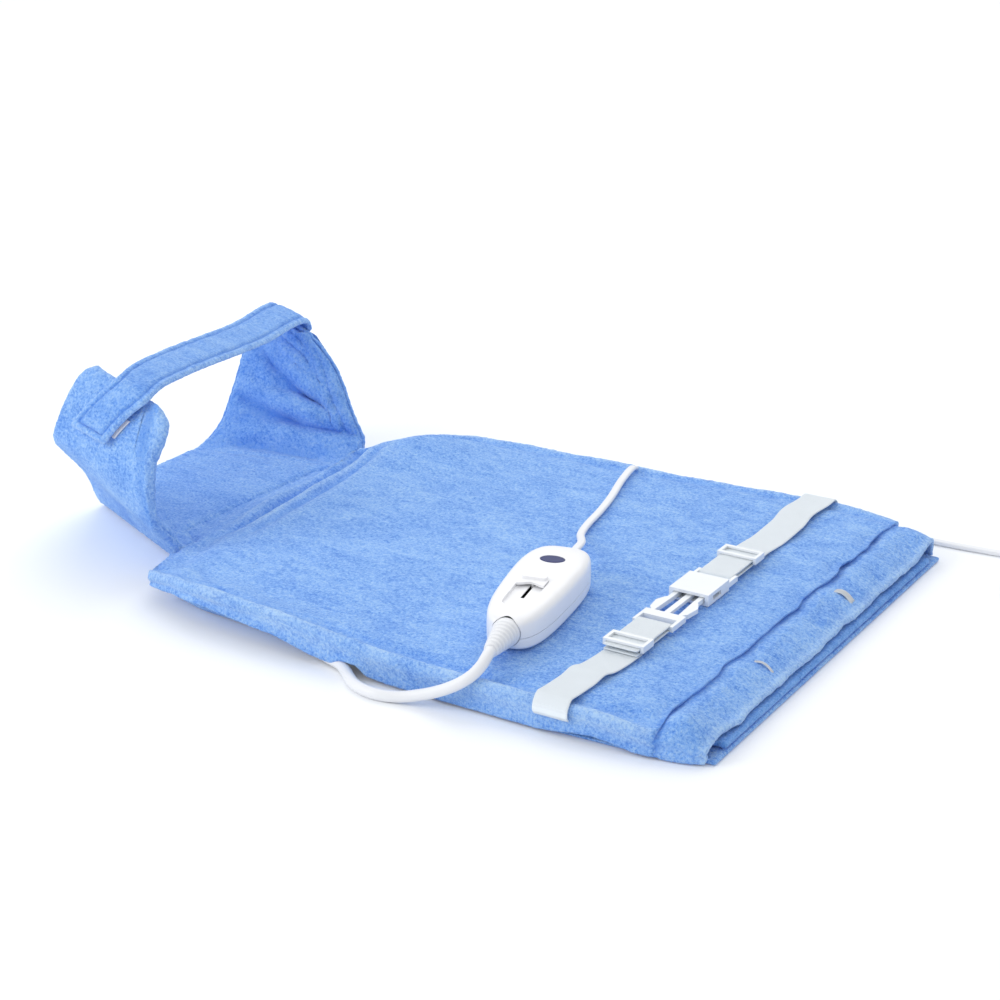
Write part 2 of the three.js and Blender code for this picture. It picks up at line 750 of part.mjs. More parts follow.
const loopBendRadius = (loopUpperZ - loopLowerZ) * half;
const loopEndRun = 12;
const bendShares = [-0.25, 0, 0.25];
function loopBend(centreY, direction) {
  return bendShares.map((share) => [
    beltX,
    centreY + direction * loopBendRadius * Math.cos(share * Math.PI),
    loopMidZ + loopBendRadius * Math.sin(share * Math.PI),
  ]);
}
const nearBendY = maleBarY + barLength + seatGap;
const nearLoopEndY = nearGlideY - glideLength * half - loopEndRun;
addMesh('belt_loop_near', sweep(webbingSection, vectors([
  [beltX, nearLoopEndY, loopLowerZ], [beltX, nearGlideY, loopLowerZ],
  [beltX, nearBendY - barLength, loopLowerZ],
  [beltX, nearBendY, loopLowerZ],
  ...loopBend(nearBendY, 1),
  [beltX, nearBendY, loopUpperZ], [beltX, nearBendY - barLength, loopUpperZ],
  [beltX, nearGlideY, loopUpperZ], [beltX, nearLoopEndY, loopUpperZ],
]), acrossBelt), webbingWhite);

const farBendY = femaleEndY - barLength - seatGap;
const farLoopEndY = farGlideY + glideLength * half + loopEndRun;
const farDropY = farLoopEndY + loopEndRun * 2;
const farRun = crownSteps.map(([depth, z]) => [beltX, farSeamY - depth, z]);
addMesh('belt_webbing_far', sweep(webbingSection, vectors([
  ...farRun, [beltX, farDropY, runZ], [beltX, farLoopEndY, loopLowerZ], [beltX, farGlideY, loopLowerZ],
  [beltX, farBendY + barLength, loopLowerZ], [beltX, farBendY, loopLowerZ],
  ...loopBend(farBendY, -1),
  [beltX, farBendY, loopUpperZ], [beltX, farBendY + barLength, loopUpperZ],
  [beltX, farGlideY, loopUpperZ], [beltX, farLoopEndY, loopUpperZ],
]), acrossBelt), webbingWhite);

// Side-release buckle
const frameLowZ = loopMidZ - frameThickness * half;
const frameHighZ = loopMidZ + frameThickness * half;
function beltBox(halfX, lowY, highY, lowZ, highZ) {
  return boxSolid(beltX - halfX, beltX + halfX, lowY, highY, lowZ, highZ);
}
function barFrame(barY, blockY, direction) {
  const lowY = Math.min(barY, blockY);
  const highY = Math.max(barY, blockY);
  const slotStart = barY + direction * barLength;
  const slotEnd = slotStart + direction * slotLength;
  const frame = beltBox(frameSide, lowY, highY, frameLowZ, frameHighZ);
  const slot = beltBox(webbingSlotHalf, Math.min(slotStart, slotEnd), Math.max(slotStart, slotEnd),
    frameLowZ - cutOverrun, frameHighZ + cutOverrun);
  const barStart = Math.min(barY - direction * cutOverrun, slotStart);
  const barEnd = Math.max(barY - direction * cutOverrun, slotStart);
  const barHighZ = loopMidZ + barThickness * half;
  const barLowZ = loopMidZ - barThickness * half;
  const overBar = beltBox(webbingSlotHalf, barStart, barEnd, barHighZ, frameHighZ + cutOverrun);
  const underBar = beltBox(webbingSlotHalf, barStart, barEnd, frameLowZ - cutOverrun, barLowZ);
  return cut(frame, slot, overBar, underBar);
}
const maleBodyEndY = maleBarY + barLength + slotLength + maleBodyLength;
const prong = beltBox(prongHalf, maleBodyEndY - cutOverrun, maleTipY,
  loopMidZ - prongHeight * half, loopMidZ + prongHeight * half);
const buckle = new THREE.Group();
pad.add(buckle);
addMesh('buckle_male', geometryOf(joined(barFrame(maleBarY, maleBodyEndY, 1), prong)), buckleWhite, buckle);

// Each spring arm: a beam with an outward thumb lobe, flush with the housing's inner wall at its tip
const armRootY = maleBodyEndY + armGap;
const armLobeStartShare = 0.16;
const armLobeEndShare = 0.5;
function armShape(side) {
  const length = armTipY - armRootY;
  const rootOut = armRootX + armThickness;
  const shape = new THREE.Shape();
  const trace = (method, x, share) => shape[method](beltX + side * x, armRootY + length * share);
  trace('moveTo', armRootX, 0);
  trace('lineTo', rootOut, 0);
  trace('lineTo', rootOut + lobeReach * half, armLobeStartShare * half);
  trace('lineTo', rootOut + lobeReach * (1 - half * half), armLobeStartShare * 2);
  trace('lineTo', rootOut + lobeReach * half * half, armLobeEndShare - armLobeStartShare * half * half);
  trace('lineTo', rootOut, armLobeEndShare);
  trace('lineTo', rootOut, 1 - armLobeStartShare * half);
  trace('lineTo', armRootX, 1);
  trace('lineTo', armRootX - armThickness * half, 1 - armLobeStartShare);
  trace('lineTo', armRootX - armThickness * half, armLobeEndShare);
  shape.closePath();
  return shape;
}
for (const [name, side] of [['buckle_arm_left', -1], ['buckle_arm_right', 1]]) {
  const arm = new THREE.ExtrudeGeometry(armShape(side), { depth: armHeight, bevelEnabled: false });
  arm.translate(0, 0, loopMidZ - armHeight * half);
  addMesh(name, arm, buckleWhite, buckle);
}

const blockLowZ = beltBaseZ;
const blockHighZ = beltBaseZ + buckleHeight;
const housing = joined(
  beltBox(frameSide, mouthY, femaleBlockEndY, blockLowZ, blockHighZ),
  barFrame(femaleEndY, femaleBlockEndY - cutOverrun, -1),
);
const cavity = beltBox(cavityHalf, mouthY - cutOverrun, cavityEndY,
  loopMidZ - cavityHeight * half, loopMidZ + cavityHeight * half);
const windows = beltBox(frameSide + cutOverrun, windowStartY, windowEndY,
  loopMidZ - windowHeight * half, loopMidZ + windowHeight * half);
const windowCore = beltBox(cavityHalf - cutOverrun, windowStartY, windowEndY,
  loopMidZ - cavityHeight * half, loopMidZ + cavityHeight * half);
addMesh('buckle_female', geometryOf(cut(housing, cavity, windows.subtract(windowCore))), buckleWhite, buckle);

// Tri-glides: two outer bars over the webbing and a middle bar between its layers
function glide(name, centreY) {
  const startY = centreY - glideLength * half;
  const endY = centreY + glideLength * half;
  const topZ = loopUpperZ + webbingThickness * half + webbingClearance + glideBarHeight;
  const baseZ = loopMidZ - barThickness * half;
  const rails = boxSolid(beltX - frameSide, beltX + frameSide, startY, endY, baseZ, topZ);
  const window = beltBox(
    webbingSlotHalf, startY - cutOverrun, endY + cutOverrun, baseZ - cutOverrun, topZ + cutOverrun,
  );
  const outer = (lowY) => beltBox(frameSide, lowY, lowY + glideBar, topZ - glideBarHeight, topZ);
  const middleY = centreY - glideBar * half;
  const middle = beltBox(frameSide, middleY, middleY + glideBar, baseZ, baseZ + barThickness);
  const solid = joined(cut(rails, window), outer(startY), outer(endY - glideBar), middle);
  addMesh(name, geometryOf(solid), buckleWhite, buckle);
}
glide('tri_glide_near', nearGlideY);
glide('tri_glide_far', farGlideY);

// Controller, built along its own X from the ribbed end to the lamp end
const controller = new THREE.Group();
controller.position.set(controllerX, controllerY, padTopZ + seatGap);
controller.rotation.z = THREE.MathUtils.degToRad(controllerTurnDegrees);
pad.add(controller);

function shellOutline(inset) {
  const endX = shellLength * half - inset;
  const sideY = shellWidth * half - inset;
  const corner = shellCorner - inset;
  const straightY = sideY - shellBarrel;
  const shape = new THREE.Shape();
  shape.moveTo(-endX + corner, -straightY);
  shape.quadraticCurveTo(0, -sideY - shellBarrel, endX - corner, -straightY);
  shape.quadraticCurveTo(endX, -straightY, endX, -straightY + corner);
  shape.lineTo(endX, straightY - corner);
  shape.quadraticCurveTo(endX, straightY, endX - corner, straightY);
  shape.quadraticCurveTo(0, sideY + shellBarrel, -endX + corner, straightY);
  shape.quadraticCurveTo(-endX, straightY, -endX, straightY - corner);
  shape.lineTo(-endX, -straightY + corner);
  shape.quadraticCurveTo(-endX, -straightY, -endX + corner, -straightY);
  return shape;
}
const outlineSegments = 5;
const roundSegments = 3;
function pebble(inset) {
  const round = shellRound - inset;
  const geometry = new THREE.ExtrudeGeometry(shellOutline(inset), {
    depth: shellHeight - shellRound * 2,
    bevelEnabled: true,
    bevelThickness: round,
    bevelSize: round,
    bevelOffset: -round,
    bevelSegments: roundSegments,
    curveSegments: outlineSegments,
  });
  geometry.translate(0, 0, shellRound);
  return solidOf(geometry);
}
function axialPlug(radius, startX, endX, sides) {
  const geometry = new THREE.CylinderGeometry(radius, radius, endX - startX, sides);
  geometry.rotateZ(-Math.PI * half);
  geometry.translate((startX + endX) * half, 0, shellHeight * half);
  return solidOf(geometry);
}
const reliefSides = 14;
const halfLength = shellLength * half;
const bigSize = shellLength;
const aboveSplit = boxSolid(-bigSize, bigSize, -bigSize, bigSize, splitHeight + seatGap * half, bigSize);
const belowSplit = boxSolid(-bigSize, bigSize, -bigSize, bigSize, -bigSize, splitHeight - seatGap * half);
const portDepth = reliefInset + shellRound;
const ports = joined(
  axialPlug(leadReliefPlug + seatGap, -halfLength - cutOverrun, portDepth - halfLength, reliefSides),
  axialPlug(mainsReliefPlug + seatGap, halfLength - portDepth, halfLength + cutOverrun, reliefSides),
);
const hollowShell = cut(pebble(0), pebble(shellWall), ports);

const recessEndX = recessStart - recessLength;
const recessFloorZ = shellHeight - recessDepth;
const recessSide = recessWidth * half;
const overTopZ = shellHeight + cutOverrun;
const recess = boxSolid(recessEndX, recessStart, -recessSide, recessSide, recessFloorZ, overTopZ);
const knobStartX = recessStart - knobClearance;
const knobCentreX = knobStartX - knobLength * half;
const slotMargin = 1;
const stemSlot = boxSolid(
  knobCentreX - knobTravel - stemLength * half - slotMargin, knobCentreX + stemLength * half + slotMargin,
  -slotWidth * half, slotWidth * half, shellHeight - shellWall * 2, shellHeight + cutOverrun,
);
const shelfSide = recessSide + shellWall;
const recessShelf = boxSolid(
  recessEndX - shellWall, recessStart + shellWall, -shelfSide, shelfSide,
  shellHeight - shellWall - recessDepth, shellHeight - shellWall * half,
);
function ovalSolid(length, width, lowZ, highZ) {
  const oval = new THREE.CylinderGeometry(half, half, highZ - lowZ, lensSides);
  oval.rotateX(Math.PI * half);
  oval.scale(length, width, 1);
  oval.translate(lensCentre, 0, (lowZ + highZ) * half);
  return solidOf(oval);
}
const lensPocket = ovalSolid(
  lensLength + seatGap * 2, lensWidth + seatGap * 2, shellHeight - lensDepth, shellHeight + cutOverrun,
);
const ledDiameter = 5;
const ledHeight = 8;
const ledHoleRadius = ledDiameter * half + seatGap;
const ledHole = new THREE.CylinderGeometry(ledHoleRadius, ledHoleRadius, shellHeight, smallSides);
ledHole.rotateX(Math.PI * half);
ledHole.translate(lensCentre, 0, shellHeight - shellWall);
const topShell = cut(
  joined(hollowShell.intersect(aboveSplit), recessShelf),
  recess, stemSlot, lensPocket, solidOf(ledHole),
);
addMesh('controller_top_shell', geometryOf(topShell), shellWhite, controller);

function postSolid(x, lowZ, highZ, radius) {
  const post = new THREE.CylinderGeometry(radius, radius, highZ - lowZ, smallSides);
  post.rotateX(Math.PI * half);
  post.translate(x, 0, (lowZ + highZ) * half);
  return solidOf(post);
}
const boardPostX = boardLength * half - postRadius * 2;
const bottomShell = cut(
  joined(
    hollowShell.intersect(belowSplit),
    postSolid(boardPostX, shellWall * half, boardZ - seatGap, postRadius),
    postSolid(-boardPostX, shellWall * half, boardZ - seatGap, postRadius),
    postSolid(screwOffset, shellWall * half, splitHeight - seatGap, screwPostRadius),
    postSolid(-screwOffset, shellWall * half, splitHeight - seatGap, screwPostRadius),
  ),
  postSolid(screwOffset, -cutOverrun, splitHeight, screwRadius + seatGap),
  postSolid(-screwOffset, -cutOverrun, splitHeight, screwRadius + seatGap),
  postSolid(screwOffset, -cutOverrun, screwHeadHeight + seatGap, screwHeadRadius + seatGap),
  postSolid(-screwOffset, -cutOverrun, screwHeadHeight + seatGap, screwHeadRadius + seatGap),
);
addMesh('controller_bottom_shell', geometryOf(bottomShell), shellWhite, controller);
[screwOffset, -screwOffset].forEach((x, index) => {
  const head = postSolid(x, seatGap, screwHeadHeight, screwHeadRadius);
  const shank = postSolid(x, screwHeadHeight * half, screwLength, screwRadius);
  addMesh(`shell_screw_${index + 1}`, geometryOf(joined(head, shank)), steel, controller);
});

const lens = ovalSolid(lensLength, lensWidth, shellHeight - lensDepth + seatGap, shellHeight);
addMesh('indicator_lens', geometryOf(lens), lensBlue, controller);
const boardTopZ = boardZ + boardThickness;
addMesh('circuit_board', geometryOf(boxSolid(
  -boardLength * half, boardLength * half, -boardWidth * half, boardWidth * half, boardZ, boardTopZ,
)), boardGreen, controller);
const led = postSolid(lensCentre, boardTopZ + seatGap, boardTopZ + ledHeight, ledDiameter * half);
addMesh('indicator_led', geometryOf(led), lining, controller);

const switchBaseZ = boardTopZ + seatGap;
const switchTopZ = switchBaseZ + switchHeight;
const switchCentreX = knobCentreX - knobTravel * half;
const switchGrooveDepth = 3;
const stemLowZ = switchTopZ - switchGrooveDepth + seatGap;
const switchWall = 1;
const switchStartX = switchCentreX - switchLength * half;
const switchEndX = switchCentreX + switchLength * half;
const switchBody = cut(
  boxSolid(switchStartX, switchEndX, -switchWidth * half, switchWidth * half, switchBaseZ, switchTopZ),
  boxSolid(switchStartX + switchWall, switchEndX - switchWall,
    -slotWidth * half, slotWidth * half, switchTopZ - switchGrooveDepth, switchTopZ + cutOverrun),
);
addMesh('slide_switch_body', geometryOf(switchBody), darkPart, controller);
const knobLowZ = recessFloorZ + seatGap;
const ridgeLength = 5;
const knob = joined(
  boxSolid(knobCentreX - knobLength * half, knobCentreX + knobLength * half,
    -recessWidth * half + knobClearance, recessWidth * half - knobClearance, knobLowZ, knobLowZ + knobPlate),
  boxSolid(knobCentreX - ridgeLength * half, knobCentreX + ridgeLength * half,
    -recessWidth * half + knobClearance, recessWidth * half - knobClearance,
    knobLowZ + knobPlate * half, knobLowZ + knobPlate + knobRidge),
  boxSolid(knobCentreX - stemLength * half, knobCentreX + stemLength * half,
    -stemWidth * half, stemWidth * half, stemLowZ, knobLowZ + knobPlate * half),
);
addMesh('switch_knob', geometryOf(knob), knobWhite, controller);

// Capacitor and mains fuse on the board
const capacitorLength = 18;
const capacitorWidth = 8;
const capacitorHeight = 10;
const capacitorX = 14;
const capacitorY = 10;
addMesh('mains_capacitor', geometryOf(boxSolid(
  capacitorX - capacitorLength * half, capacitorX + capacitorLength * half,
  capacitorY - capacitorWidth * half, capacitorY + capacitorWidth * half,
  switchBaseZ, switchBaseZ + capacitorHeight,
)), darkPart, controller);
const fuseLength = 20;
const fuseRadius = 2.6;
const fuseY = -11;
const fuse = new THREE.CylinderGeometry(fuseRadius, fuseRadius, fuseLength, smallSides);
fuse.rotateZ(Math.PI * half);
fuse.translate(capacitorX, fuseY, switchBaseZ + fuseRadius);
addMesh('mains_fuse', fuse, steel, controller);

// Strain reliefs: the ribbed one for the pad lead, the small one for the mains cord
function reliefProfile(plug, root, tip, length, ribs) {
  const points = [[0, -reliefInset], [plug, -reliefInset], [plug, seatGap]];
  const ribPitch = length / (ribs + 1);
  for (let i = 0; i <= ribs; i += 1) {
    const radius = root + (tip - root) * i / (ribs + 1);
    points.push([radius, seatGap + ribPitch * i]);
    points.push([radius, seatGap + ribPitch * (i + half)]);
    if (i < ribs) {
      points.push([radius - ribDepth, seatGap + ribPitch * (i + half)]);
      points.push([radius - ribDepth, seatGap + ribPitch * (i + 1)]);
    }
  }
  points.push([tip, length], [0, length]);
  return points.map(([radius, along]) => new THREE.Vector2(radius, along));
}
function relief(name, profile, direction) {
  const geometry = new THREE.LatheGeometry(profile, reliefSides);
  geometry.rotateZ(-Math.PI * half * direction);
  geometry.translate(direction * halfLength, 0, shellHeight * half);
  addMesh(name, geometryOf(solidOf(geometry)), cordWhite, controller);
}
relief('lead_relief', reliefProfile(
  leadReliefPlug, leadReliefRoot, leadReliefTip, leadReliefLength, leadReliefRibs,
), -1);
relief('mains_relief', reliefProfile(
  mainsReliefPlug, mainsReliefRoot, mainsReliefTip, mainsReliefLength, 0,
), 1);

// Pad lead: from the ribbed relief over the near edge, along the floor and back under the edge
const leadPoints = [
  [141.8, -188, 39.4], [143.2, -195, 38.8], [144.2, -204, 35], [143, -212, 27], [138, -219, 16],
  [129, -225, 8], [117, -228, 4.4], [104, -229, 4.1], [90, -229, 4.1], [76, -227, 4.1],
  [62, -222, 4.1], [50, -215, 4.1], [39, -208, 4.2], [29, -203, 4.8], [19, -199.5, 6],
  [11, -196.5, 7.6], [6.6, -191.5, 8.9], [6, -183.1, 9.2],
];
const cordStepsPerSpan = 2;
const leadSection = flatSection(leadDiameter, leadDiameter, cordSides);
addMesh('pad_lead', sweep(leadSection, vectors(leadPoints), headingSide, cordStepsPerSpan), cordWhite);

// Mains cord: from the small relief over the far edge and along the floor past the foot
const mainsPoints = [
  [107.2, -15.6, 39.4], [105.6, -7, 39.3], [102.6, 4, 38], [97, 15, 35], [90, 27, 31],
  [83.5, 38, 28.4], [79, 51, 27.6], [76, 65, 27.6], [73.5, 81, 27.6], [70.5, 97, 27.6],
  [67, 113, 27.6], [62.5, 130, 27.6], [57, 149, 27.6], [53, 166, 27.6], [50, 180, 27.2],
  [48, 190, 25.2], [47, 198, 19.5], [47.2, 203, 12], [49.5, 207.5, 6], [55, 212.5, 2.6],
  [64, 217, 2.1], [76, 220, 2.1], [92, 221.5, 2.1], [112, 222, 2.1], [136, 222, 2.1],
  [162, 222, 2.1], [188, 222.5, 2.1], [214, 223, 2.1], [240, 223, 2.1], [266, 222.5, 2.1],
  [290, 222.4, 2.1], [312, 223, 2.1], [332, 224.6, 2.1], [352, 226.2, 2.1], [372, 227, 2.2],
  [392, 227.2, 2.8], [411.5, 227.2, 3.4],
];
const mainsSection = flatSection(mainsWidth, mainsThickness, cordSides);
const mainsSweep = (points) => sweep(mainsSection, vectors(points), headingSide, cordStepsPerSpan);
addMesh('mains_cord_run', mainsSweep(mainsPoints), cordWhite);

// Coil: one unbroken cord that spirals in and out again, climbing a layer where the spiral reverses
const turnsPerLayer = coilTurns / coilLayers;
const coilOuterRadius = coilMeanRadius + coilPitch * turnsPerLayer * half;
const coilBaseZ = tieThickness + tieClearance + floorLift;
const firstLayerZ = coilBaseZ + mainsThickness * half;
const climbTurns = 0.5;
function coilPlace(turn) {
  const layerShare = turn / turnsPerLayer;
  const layer = Math.min(Math.floor(layerShare), coilLayers - 1);
  const along = layerShare - layer;
  const inward = layer % 2 === 0 ? along : 1 - along;
  const radius = coilOuterRadius - coilPitch * turnsPerLayer * inward;
  let height = 0;
  for (let step = 1; step < coilLayers; step += 1) {
    height += smooth((turn - step * turnsPerLayer) / climbTurns + half);
  }
  return { radius, height: firstLayerZ + coilLayerRise * height };
}
const coilPoints = [[coilX - mainsWidth, coilY + coilOuterRadius, firstLayerZ]];
const coilSteps = Math.round(coilTurns * coilStepsPerTurn);
for (let i = 0; i <= coilSteps; i += 1) {
  const turn = coilTurns * i / coilSteps;
  const { radius, height } = coilPlace(turn);
  const angle = Math.PI * half - turn * Math.PI * 2;
  coilPoints.push([coilX + radius * Math.cos(angle), coilY + radius * Math.sin(angle), height]);
}
const topLayerZ = firstLayerZ + coilLayerRise * (coilLayers - 1);
coilPoints.push([coilX + coilOuterRadius, coilY - mainsWidth, topLayerZ]);
const coilSides = 6;
const coilSection = flatSection(mainsWidth, mainsThickness, coilSides);
addMesh('mains_cord_coil', sweep(coilSection, vectors(coilPoints), headingSide), cordWhite);

// Least gap between the coil's turns, measured between flat sections in one radial plane
let leastCoilGap = Infinity;
for (let i = 0; i <= coilSteps; i += 1) {
  for (let j = i + coilStepsPerTurn; j <= coilSteps; j += coilStepsPerTurn) {
    const one = coilPlace(coilTurns * i / coilSteps);
    const other = coilPlace(coilTurns * j / coilSteps);
    const aside = Math.max(Math.abs(one.radius - other.radius) - (mainsWidth - mainsThickness), 0);
    leastCoilGap = Math.min(leastCoilGap, Math.hypot(aside, one.height - other.height) - mainsThickness);
  }
}
console.log(`least gap between the coil's turns: ${leastCoilGap.toFixed(2)} mm`);

// Tie round the coil's bundle of turns
const coilInnerRadius = coilOuterRadius - coilPitch * turnsPerLayer;
const bundleLow = coilInnerRadius - mainsWidth * half - tieClearance;
const bundleHigh = coilOuterRadius + mainsWidth * half + tieClearance;
const bundleTopZ = topLayerZ + mainsThickness * half + tieClearance;
const tieOuter = boxSolid(
  bundleLow - tieThickness, bundleHigh + tieThickness, -tieWidth * half, tieWidth * half,
  floorLift, bundleTopZ + tieThickness,
);
const tieInner = boxSolid(bundleLow, bundleHigh, -tieWidth, tieWidth, floorLift + tieThickness, bundleTopZ);
const tie = geometryOf(tieOuter.subtract(tieInner));
tie.rotateZ(THREE.MathUtils.degToRad(tieAngleDegrees));
tie.translate(coilX, coilY, 0);
addMesh('coil_tie', tie, darkPart);

// Tail from the coil down to the plug, and the plug with its two pins
const plugAxisZ = plugHeight * half + floorLift;
const plugStartY = 136;
const plugX = coilX + coilOuterRadius;
const tailPoints = [
  [plugX, coilY - mainsWidth - seatGap, topLayerZ], [plugX, 171, 15.2], [plugX, 161, 12.2], [plugX, 151, 9],
  [plugX, 143, 7.3], [plugX, plugStartY + seatGap, plugAxisZ],
];
addMesh('mains_cord_tail', mainsSweep(tailPoints), cordWhite);
const plugShape = new THREE.Shape();
const plugHalf = plugWidth * half;
const plugChamferShare = 0.45;
const plugWaistShare = 0.62;
plugShape.moveTo(-plugHalf, 0);
plugShape.lineTo(plugHalf, 0);
plugShape.lineTo(plugHalf, plugLength * plugChamferShare);
plugShape.lineTo(plugHalf * plugWaistShare, plugLength);
plugShape.lineTo(-plugHalf * plugWaistShare, plugLength);
plugShape.lineTo(-plugHalf, plugLength * plugChamferShare);
plugShape.closePath();
const plugRound = 2.5;
const plugBlock = new THREE.ExtrudeGeometry(plugShape, {
  depth: plugHeight - plugRound * 2,
  bevelThickness: plugRound,
  bevelSize: plugRound,
  bevelOffset: -plugRound,
  bevelSegments: 2,
});
const plugFaceY = plugStartY - plugNose - plugLength;
plugBlock.translate(plugX, plugFaceY, plugRound + floorLift);
const noseRoot = 6;
const noseTip = 4;
const nose = new THREE.CylinderGeometry(noseTip, noseRoot, plugNose + cutOverrun, smallSides);
nose.translate(plugX, plugStartY - (plugNose + cutOverrun) * half, plugAxisZ);
addMesh('plug_body', geometryOf(joined(solidOf(plugBlock), solidOf(nose))), cordWhite);
[-1, 1].forEach((side, index) => {
  const pin = new THREE.CapsuleGeometry(pinDiameter * half, pinLength - pinDiameter, domeSteps, smallSides);
  pin.translate(plugX + side * pinSpacing * half, plugFaceY - seatGap - pinLength * half, plugAxisZ);
  addMesh(`plug_pin_${index + 1}`, pin, steel);
});

export default pad;
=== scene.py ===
"""Looks of the heating pad: fleece cover and collar, belt, buckle, hand controller and cords. Metres."""
import math

import bpy
import numpy as np
from mathutils import Matrix, Vector, noise


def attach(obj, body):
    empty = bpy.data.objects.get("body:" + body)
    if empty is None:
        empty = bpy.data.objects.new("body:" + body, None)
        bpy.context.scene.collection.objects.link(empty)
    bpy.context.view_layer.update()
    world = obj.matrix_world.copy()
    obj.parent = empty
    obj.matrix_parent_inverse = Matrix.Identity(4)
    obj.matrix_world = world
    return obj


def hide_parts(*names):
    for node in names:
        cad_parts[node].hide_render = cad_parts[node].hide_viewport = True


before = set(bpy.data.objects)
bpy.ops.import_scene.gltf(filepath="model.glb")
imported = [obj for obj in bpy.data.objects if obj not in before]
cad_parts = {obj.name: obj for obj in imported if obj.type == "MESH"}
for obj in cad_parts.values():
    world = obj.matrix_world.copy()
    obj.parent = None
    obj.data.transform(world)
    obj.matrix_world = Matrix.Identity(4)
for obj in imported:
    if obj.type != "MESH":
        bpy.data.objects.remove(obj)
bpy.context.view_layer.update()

# Units and shares
mm = 0.001
half = 0.5
turn = 2 * math.pi
quarter = half * half
near_zero = 1e-12
swell_place = 2                 # the swells beside a fold, in widths of the fold

# Camera: solved from the pad's straight sides, foot hem and belt
camera_place = (0.884, -1.413, 0.720)
camera_tilt_degrees = 68.17
camera_heading_degrees = 30.97
camera_lens = 86.4
camera_sensor = 36

# Light and floor
world_strength = 0.78
world_color = (0.97, 0.985, 1, 1)
# Lamps: name, energy, size and place
lamps = (
    ("key_light", 24, 2.4, (-0.6, 1.5, 2.0)),
    ("fill_light", 20, 1.3, (-1.5, -1.7, 1.3)),
)
floor_reach = 14
floor_white = (0.93, 0.945, 0.97)
floor_lift = 0.06

# Pad outline
neck_line_x = -171 * mm
pad_length = 473 * mm
pad_half_width = 205 * mm
# Outline of the near and far side: share of the pad's length, share of its half width
near_edge_shares = [
    (0, 0.8), (0.023, 0.845), (0.122, 0.93), (0.25, 0.96), (0.5, 0.995), (0.79, 1.01), (0.92, 1), (1, 0.955),
]
far_edge_shares = [
    (0, 0.6), (0.078, 0.712), (0.128, 0.839), (0.16, 0.912), (0.254, 0.95),
    (0.5, 0.96), (0.79, 1.01), (0.92, 1), (1, 0.965),
]
foot_x = neck_line_x + pad_length
outline_blend = 9 * mm
outline_steps = 951

# Pad layers
cover_fabric = 3 * mm
cover_top_z = 22.1 * mm
pad_top_z = cover_top_z + cover_fabric
fabric_gap = 0.4 * mm
seat_gap = 0.3 * mm
lower_hem_top_z = 6.4 * mm

# Cover shape
rim_run = 20 * mm
rim_rise = 6 * mm
seam_z = rim_rise + cover_fabric + fabric_gap
neck_run = 46 * mm
neck_rise_share = 0.35
crease_height = 2.2 * mm
crease_pitch = 26 * mm
crease_run = 70 * mm
hem_band = 32 * mm
hem_thickness = 6 * mm
mouth_height = 6.2 * mm
insert_foot_setback = 52 * mm
insert_foot_x = foot_x - insert_foot_setback
hem_start_x = foot_x - hem_band
lower_hem_reach = 7 * mm
lower_hem_band = 29 * mm
lower_hem_inset = 24 * mm
entry_x = 6 * mm
slit_setback = 10 * mm
slit_start_x = entry_x - slit_setback
slit_length = 58 * mm
slit_depth = 21.5 * mm

# Cords
lead_diameter = 8 * mm
mains_width = 6.2 * mm
mains_thickness = 3.8 * mm
lead_points = [
    (141.8, -188, 39.4), (143.2, -195, 38.6), (143.4, -201.5, 35.2), (140, -207, 29.6), (133, -211, 23.4),
    (123, -213.6, 17.3), (112, -214.8, 12), (101.5, -215.8, 8), (91.8, -218, 5.4), (82, -220.4, 4.2),
    (72, -221.9, 4.1), (61, -220.4, 4.1), (51, -216.2, 4.1), (43, -210, 4.2), (36, -204, 4.6),
    (28.5, -198.8, 5.2), (20, -196.4, 5.9), (11.5, -194.4, 6.9), (5.4, -190.2, 8.3), (6, -183.1, 9.2),
]
mains_points = [
    (107.2, -15.6, 39.4), (105.6, -7, 39.3), (102.6, 4, 38), (97, 15, 35), (90, 27, 31),
    (83.5, 38, 28.4), (79, 51, 27.6), (76, 65, 27.6), (73.5, 81, 27.6), (70.5, 97, 27.6),
    (67, 113, 27.6), (62.5, 130, 27.6), (57, 149, 27.6), (53, 166, 27.6), (50, 180, 27.2),
    (48, 190, 25.2), (47, 198, 19.5), (47.2, 203, 12), (49.5, 207.5, 6), (55, 212.5, 2.6),
    (64, 217, 2.1), (76, 220, 2.1), (92, 221.5, 2.1), (112, 222, 2.1), (136, 222, 2.1),
    (162, 222, 2.1), (188, 222.5, 2.1), (214, 223, 2.1), (240, 223, 2.1), (266, 222.5, 2.1),
    (290, 222.4, 2.1), (312, 223, 2.1), (332, 224.6, 2.1), (352, 226.2, 2.1), (372, 227, 2.2),
    (392, 227.2, 2.8), (411.5, 227.2, 3.4),
]
tail_points = [
    (458.16, 180.5, 16.3), (458.16, 171, 15.2), (458.16, 161, 12.2), (458.16, 151, 9),
    (458.16, 143, 7.3), (458.16, 136.3, 7.1),
]
coil_x = 418 * mm
coil_y = 187 * mm
coil_mean_radius = 34 * mm
coil_pitch = 6.8 * mm
coil_layers = 4
coil_turns = 7.25
coil_steps_per_turn = 40
coil_layer_rise = 4.3 * mm
coil_first_z = 3.4 * mm
coil_climb_turns = 0.5
cord_steps = 5
lead_sides = 20
mains_sides = 24
groove_share = 0.16
groove_spread = 0.22
core_spread = 0.3


# Ways to place and dress a piece
def place_piece(piece, body, slot, *nodes):
    if nodes:
        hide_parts(*nodes)
    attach(piece, body)


def dress(piece, material):
    piece.data.materials.clear()
    piece.data.materials.append(material)


# Curves and shares
def metres(rows):
    return [Vector(row) * mm for row in rows]


def smooth_step(share):
    bounded = np.clip(share, 0, 1)
    return bounded * bounded * (3 - 2 * bounded)


